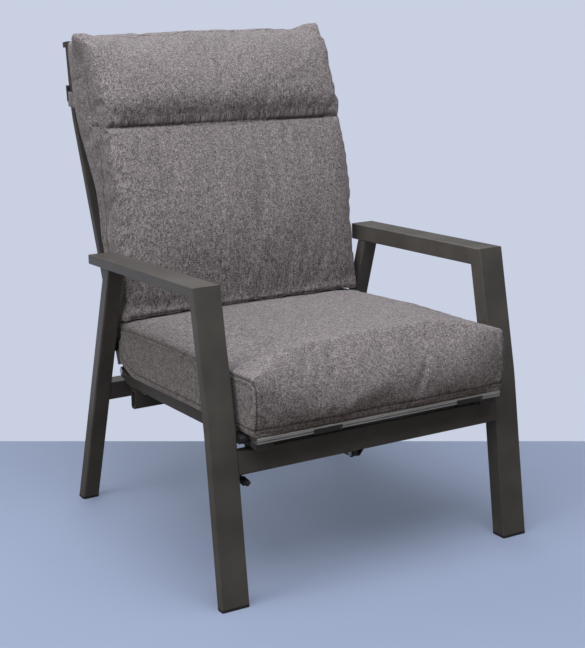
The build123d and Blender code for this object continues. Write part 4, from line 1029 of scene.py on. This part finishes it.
seat_rows = [snapped(seat_cover, line, lift=0.2 * MM) for line in seat_lines]
stitch_rows("seat_stitches", seat_rows, "seat")
back_rows = [snapped(back_cover, panel_line, lift=0.2 * MM)]
back_rows.append(snapped(back_cover, channel_line, lift=-0.4 * MM))
stitch_rows("back_stitches", back_rows, "backrest")

# %% [markdown]
# ## The slings
#
# A sling is one flat width of mesh, pulled tight between two rails, with its edges held in the
# rails' slots. It hardly sags, so it is modelled as a sheet that lies midway between the two
# faces of its CAD solid, with the mesh's own thickness.

# %% Thin cloth from rows of points
def net_faces(rows, columns, first=0):
    """The faces of a net of points in rows and columns."""
    starts = [first + r * columns + c for r in range(rows - 1) for c in range(columns - 1)]
    return [(a, a + 1, a + columns + 1, a + columns) for a in starts]


def thin_cloth(name, spots, faces, uvs, finish, thickness):
    """A piece of thin cloth with its unrolled map, and its thickness as a modifier."""
    mesh = bpy.data.meshes.new(name)
    mesh.from_pydata(spots, [], faces)
    layer = mesh.uv_layers.new(name="unrolled")
    for loop in mesh.loops:
        layer.data[loop.index].uv = uvs[loop.vertex_index]
    piece = new_piece(name, mesh, finish)
    wall = piece.modifiers.new("thickness", "SOLIDIFY")
    wall.thickness = thickness
    wall.offset = 0.0
    return piece


# %% Sheets between the rails
sling_thickness = 0.9 * MM


def stretched_sheet(name, node, down, columns, rows):
    """A sheet midway between the faces of a thin node, seen along one direction."""
    tree = BVHTree.FromObject(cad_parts[node], bpy.context.evaluated_depsgraph_get())
    low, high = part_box(node)
    across = np.linspace(low[0] + 1 * MM, high[0] - 1 * MM, columns)
    run = 1 if down else 2
    along = np.linspace(low[run] + 1 * MM, high[run] - 1 * MM, rows)
    step = Vector((0, 0, -1)) if down else Vector((0, 1, 0))
    spots, length = [], [0.0]
    for place in along:
        for x in across:
            spot = Vector((x, place, 1.0)) if down else Vector((x, -1.0, place))
            near = tree.ray_cast(spot, step)[0]
            far = tree.ray_cast(spot + step * 3, -step)[0]
            spots.append((near + far) / 2)
    for row in range(1, rows):
        length.append(length[-1] + (spots[row * columns] - spots[(row - 1) * columns]).length)
    uvs = [(across[c], length[r]) for r in range(rows) for c in range(columns)]
    faces = net_faces(rows, columns)
    piece = thin_cloth(name, spots, faces, uvs, sling_mesh, sling_thickness)
    print(name, "width", round(across[-1] - across[0], 3), "length", round(length[-1], 3))
    return piece, (float(across[-1] - across[0]), float(length[-1]))


seat_sheet, seat_flat = stretched_sheet("seat_sling_fabric", "seat_sling", True, 9, 9)
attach(seat_sheet, "seat")
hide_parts("seat_sling")
back_sheet, back_flat = stretched_sheet("back_sling_fabric", "back_sling", False, 9, 49)
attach(back_sheet, "backrest")
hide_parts("back_sling")

# %% [markdown]
# ## Straps, head band and tabs
#
# Flat webbing is too thin for a remesh, so it is drawn directly: a path with rounded turns,
# widened to a ribbon and given its thickness. Two straps hold the seat cushion to the front
# bar, and an elastic band round the back of the frame holds the head of the back cushion. Its
# ends come out beside the rails and are sewn to a tab of the cover cloth.

# %% Ribbons along a path
def rounded_path(corners, radius, steps=5):
    """A path through corners, with each turn rounded."""
    path = [corners[0]]
    for before, turn, after in zip(corners[:-2], corners[1:-1], corners[2:]):
        start = turn + (before - turn).normalized() * min(radius, (before - turn).length / 2)
        end = turn + (after - turn).normalized() * min(radius, (after - turn).length / 2)
        for i in range(steps + 1):
            share = i / steps
            path.append(start.lerp(turn, share).lerp(turn.lerp(end, share), share))
    path.append(corners[-1])
    return path


def ribbon(name, runs, finish, thickness, bulge=0.0):
    """Ribbons, each from a path and a width direction, with their thickness."""
    spots, faces, uvs = [], [], []
    columns = 7
    for path, width in runs:
        first, length = len(spots), 0.0
        for i, spot in enumerate(path):
            length += (spot - path[i - 1]).length if i else 0.0
            ahead = path[min(i + 1, len(path) - 1)] - path[max(i - 1, 0)]
            face = ahead.cross(width).normalized()
            for c in range(columns):
                share = c / (columns - 1) - 0.5
                lift = bulge * (1 - 4 * share * share)
                spots.append(spot + width * share + face * lift)
                uvs.append((share * width.length, length))
        faces += net_faces(len(path), columns, first)
    piece = thin_cloth(name, spots, faces, uvs, finish, thickness)
    make_plain(piece)
    print(name, "faces", len(piece.data.polygons))
    return piece


# %% Straps on the front bar
strap_low, strap_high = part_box("seat_straps")
_, bar_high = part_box("front_bar")
# The solid's webbing is 1.4 mm thick. The straps run midway in it and are a little thinner.
strap_width, strap_thickness, webbing_half = 63 * MM, 1.2 * MM, 0.7 * MM
strap_front, strap_rear = strap_low[1] + webbing_half, strap_high[1] - webbing_half
strap_bottom, strap_top = strap_low[2] + webbing_half, strap_high[2]
slot_level = bar_high[2] - 4.2 * MM
# From the slot in the bar over its front, under it and up behind it, in the side view
route = (
    (strap_front + 6 * MM, slot_level),
    (strap_front, slot_level),
    (strap_front, strap_bottom),
    (strap_rear, strap_bottom),
    (strap_rear, strap_top),
)
runs = []
for middle in (strap_low[0] + strap_width / 2, strap_high[0] - strap_width / 2):
    corners = [Vector((middle, y, z)) for y, z in route]
    runs.append((rounded_path(corners, 2 * MM), Vector((strap_width, 0, 0))))
straps = ribbon("front_straps", runs, webbing, strap_thickness)
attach(straps, "seat")
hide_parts("seat_straps")

# %% Head band
band_low, band_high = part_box("headband")
upper_lean = radians(8)
rise = Vector((0, sin(upper_lean), cos(upper_lean)))
behind = Vector((0, cos(upper_lean), -sin(upper_lean)))
band_width, band_thickness = 36 * MM, 1.4 * MM
band_mid = Vector((0, band_low[1] + 12.6 * MM, (band_low[2] + band_high[2]) / 2))
# Half the width between its turns, and how far its ends come forward beside the rails
band_half, end_length = band_high[0] + 0.7 * MM, 11 * MM
right_turn, left_turn = (band_mid + Vector((side * band_half, 0, 0)) for side in (-1, 1))
forward = behind * end_length
corners = [right_turn - forward, right_turn, left_turn, left_turn - forward]
runs = [(rounded_path(corners, 5 * MM), rise * band_width)]
band = ribbon("head_band", runs, webbing, band_thickness)
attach(band, "backrest")
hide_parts("headband")

# %% Cloth tabs at the head
tab_low, tab_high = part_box("headband_tabs")
tab_width, tab_bulge = 34 * MM, 0.8 * MM
tab_mid = (tab_low[2] + tab_high[2]) / 2
# A tab's way from the band forward, as x on its own side, y and z
rear_end, front_end = tab_high[1], tab_low[1]
route = (
    (0.2865, rear_end + 2 * MM, tab_mid + 1 * MM),
    (0.2870, rear_end - 30 * MM, tab_mid),
    (0.2925, rear_end - 50 * MM, tab_mid - 3 * MM),
    (0.2945, front_end + 4 * MM, tab_mid - 8 * MM),
)
runs = []
for side in (-1, 1):
    corners = [Vector((side * x, y, z)) for x, y, z in route]
    runs.append((rounded_path(corners, 14 * MM), rise * tab_width))
tabs = ribbon("side_tabs", runs, tab_cloth, band_thickness, tab_bulge)
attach(tabs, "backrest")
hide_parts("headband_tabs")

# %% [markdown]
# ## The camera
#
# The camera stands where the photographer stood: about chest height, to the left of the front,
# with a short telephoto lens. It looks down by ten degrees, and its picture is shifted down a
# little, as a product photographer does so that upright legs lean less.

# %% Camera
view = bpy.data.cameras.new("photo_camera")
view.lens = 81.303
view.sensor_width = 36.0
view.shift_y = -0.1497
camera = bpy.data.objects.new("photo_camera", view)
bpy.context.scene.collection.objects.link(camera)
# Its heading, how far it looks down, and its small roll, in degrees
heading, look_down, roll_angle = 31.1375, 10.0887, -0.6918
camera.matrix_world = (
    Matrix.Translation((-1.55892, -2.66604, 1.17854))
    @ Matrix.Rotation(radians(-heading), 4, "Z")
    @ Matrix.Rotation(radians(90 - look_down), 4, "X")
    @ Matrix.Rotation(radians(roll_angle), 4, "Z")
)
bpy.context.scene.camera = camera
print("camera at", [round(v, 2) for v in camera.location])

# %% [markdown]
# ## Floor, backdrop and light
#
# The chair stands on a dull blue floor in front of a paler wall. A real wall at that line would
# cut through the leaning back, so the wall's colour is painted on the far floor and on the sky.
# The near floor is a matt surface, so that it takes the chair's soft shadow, and a share of its
# colour is painted light that it gives off itself.
#
# The light is a wide soft box above the front, a weaker one at the left, and one above the rear
# that lights the arms and the rim of the cushion. Little light comes from below.

# %% Where the wall meets the floor
# The picture's centre and focal length in its own pixels, 585 by 648
picture_centre, picture_focus = (292.5, 227.0), 1463.45


def floor_spot(across, down):
    """The place on the floor that the camera sees at a pixel."""
    ray = Vector((across - picture_centre[0], picture_centre[1] - down, -picture_focus))
    ray = camera.matrix_world.to_3x3() @ ray
    start = camera.matrix_world.translation
    return start - ray * (start.z / ray.z)


# The wall meets the floor at 441 pixels down, so the line is level in the picture. It runs far
# past both sides of the picture.
wall_line, line_start, line_end = 441, -1500, 2085
left_end, right_end = (floor_spot(across, wall_line) for across in (line_start, line_end))
ahead = Vector((sin(radians(heading)), cos(radians(heading)), 0))
print("floor and far floor meet at", [round(v, 2) for v in left_end.lerp(right_end, 0.5)])


# %% Near floor
# The floor lies this far below the feet, so that no face of theirs lies in its plane.
floor_gap = 0.5 * MM


def floor_piece(name, reach, finish):
    """A strip of floor from the line towards the camera, or away from it."""
    corners = [left_end, right_end, right_end + ahead * reach, left_end + ahead * reach]
    corners = corners if reach < 0 else corners[::-1]
    mesh = bpy.data.meshes.new(name)
    mesh.from_pydata([c - Vector((0, 0, floor_gap)) for c in corners], [], [(3, 2, 1, 0)])
    strip = new_piece(name, mesh, finish)


# Matt painted floor, dull blue
floor_colour = "#a0adc8"
floor_paint, tree, shader, _ = new_finish("matt_floor_paint_with_glow", floor_colour, 0.9)
shader.inputs["Specular IOR Level"].default_value = 0.1
camera_sees = add_node(tree, "ShaderNodeLightPath").outputs["Is Camera Ray"]
# The photograph has little light from below, so the floor throws back less than it shows.
inputs = {"Factor": camera_sees, 6: linear("#6d665e"), 7: linear(floor_colour)}
bounce = add_node(tree, "ShaderNodeMix", {"data_type": "RGBA"}, inputs)
tree.links.new(bounce.outputs[2], shader.inputs["Base Color"])
near_reach = 12.0
floor_piece("near_floor", -near_reach, floor_paint)
print("near floor", floor_colour)


# %% Far floor and the floor's share of painted light
def seen_as(tree, colour, other, share=1.0):
    """A share of plain colour where the camera or a reflection sees it, over another shader."""
    light = add_node(tree, "ShaderNodeLightPath").outputs
    seen = light["Is Camera Ray"]
    for operation, value in (
        ("MAXIMUM", light["Is Glossy Ray"]),
        ("MAXIMUM", light["Is Transmission Ray"]),
        ("MULTIPLY", share),
    ):
        inputs = {0: seen, 1: value}
        seen = add_node(tree, "ShaderNodeMath", {"operation": operation}, inputs).outputs[0]
    inputs = {"Color": linear(colour), "Strength": 1.0}
    plain = add_node(tree, "ShaderNodeEmission", inputs=inputs)
    inputs = {0: seen, 1: other, 2: plain.outputs[0]}
    return add_node(tree, "ShaderNodeMixShader", inputs=inputs).outputs[0]


# A fifth of the floor's colour is painted light that the floor gives off itself, so that the
# chair's shadow on it is a light one.
painted_light_share = 0.22
result = seen_as(tree, "#9dabc6", shader.outputs[0], painted_light_share)
tree.links.new(result, tree.nodes["Material Output"].inputs["Surface"])

wall_colour = "#c9d0e2"
far_paint, tree, shader, _ = new_finish("pale_wall_paint", wall_colour, 0.9)
result = seen_as(tree, wall_colour, shader.outputs[0])
tree.links.new(result, tree.nodes["Material Output"].inputs["Surface"])
far_reach = 14.0
floor_piece("far_floor", far_reach, far_paint)
print("floors", near_reach, "m towards the camera and", far_reach, "m away from it")

# %% World
world = bpy.data.worlds.new("studio")
bpy.context.scene.world = world
world.use_nodes = True
tree = world.node_tree
room = tree.nodes["Background"]
room.inputs["Color"].default_value = linear("#e9e6e4")
room.inputs["Strength"].default_value = 0.21
camera_sees = add_node(tree, "ShaderNodeLightPath").outputs["Is Camera Ray"]
inputs = {"Color": linear(wall_colour), "Strength": 1.0}
backdrop = add_node(tree, "ShaderNodeBackground", inputs=inputs)
inputs = {0: camera_sees, 1: room.outputs[0], 2: backdrop.outputs[0]}
mix = add_node(tree, "ShaderNodeMixShader", inputs=inputs)
tree.links.new(mix.outputs[0], tree.nodes["World Output"].inputs["Surface"])
print("world", world.name, "with", len(tree.nodes), "nodes")


# %% Lamps and view
def soft_box(name, place, target, size, power, colour="#ffffff"):
    """A square area lamp that faces a place."""
    lamp = bpy.data.lights.new(name, "AREA")
    lamp.shape = "SQUARE"
    lamp.size = size
    lamp.energy = power
    lamp.color = linear(colour)[:3]
    piece = bpy.data.objects.new(name, lamp)
    bpy.context.scene.collection.objects.link(piece)
    aim = (Vector(target) - Vector(place)).to_track_quat("-Z", "Y")
    piece.matrix_world = Matrix.Translation(place) @ aim.to_matrix().to_4x4()


soft_box("overhead_box", (-0.5, -1.0, 3.1), (0, 0, 0.4), 2.7, 91, "#f7f8ff")
soft_box("left_side_box", (-3.4, -0.6, 2.6), (0, 0, 0.6), 1.8, 48)
soft_box("rear_box", (0.6, 2.4, 3.0), (0, 0, 0.4), 2.6, 30)
print("lamps", [lamp.name for lamp in bpy.data.lights])
bpy.context.scene.view_settings.view_transform = "Standard"
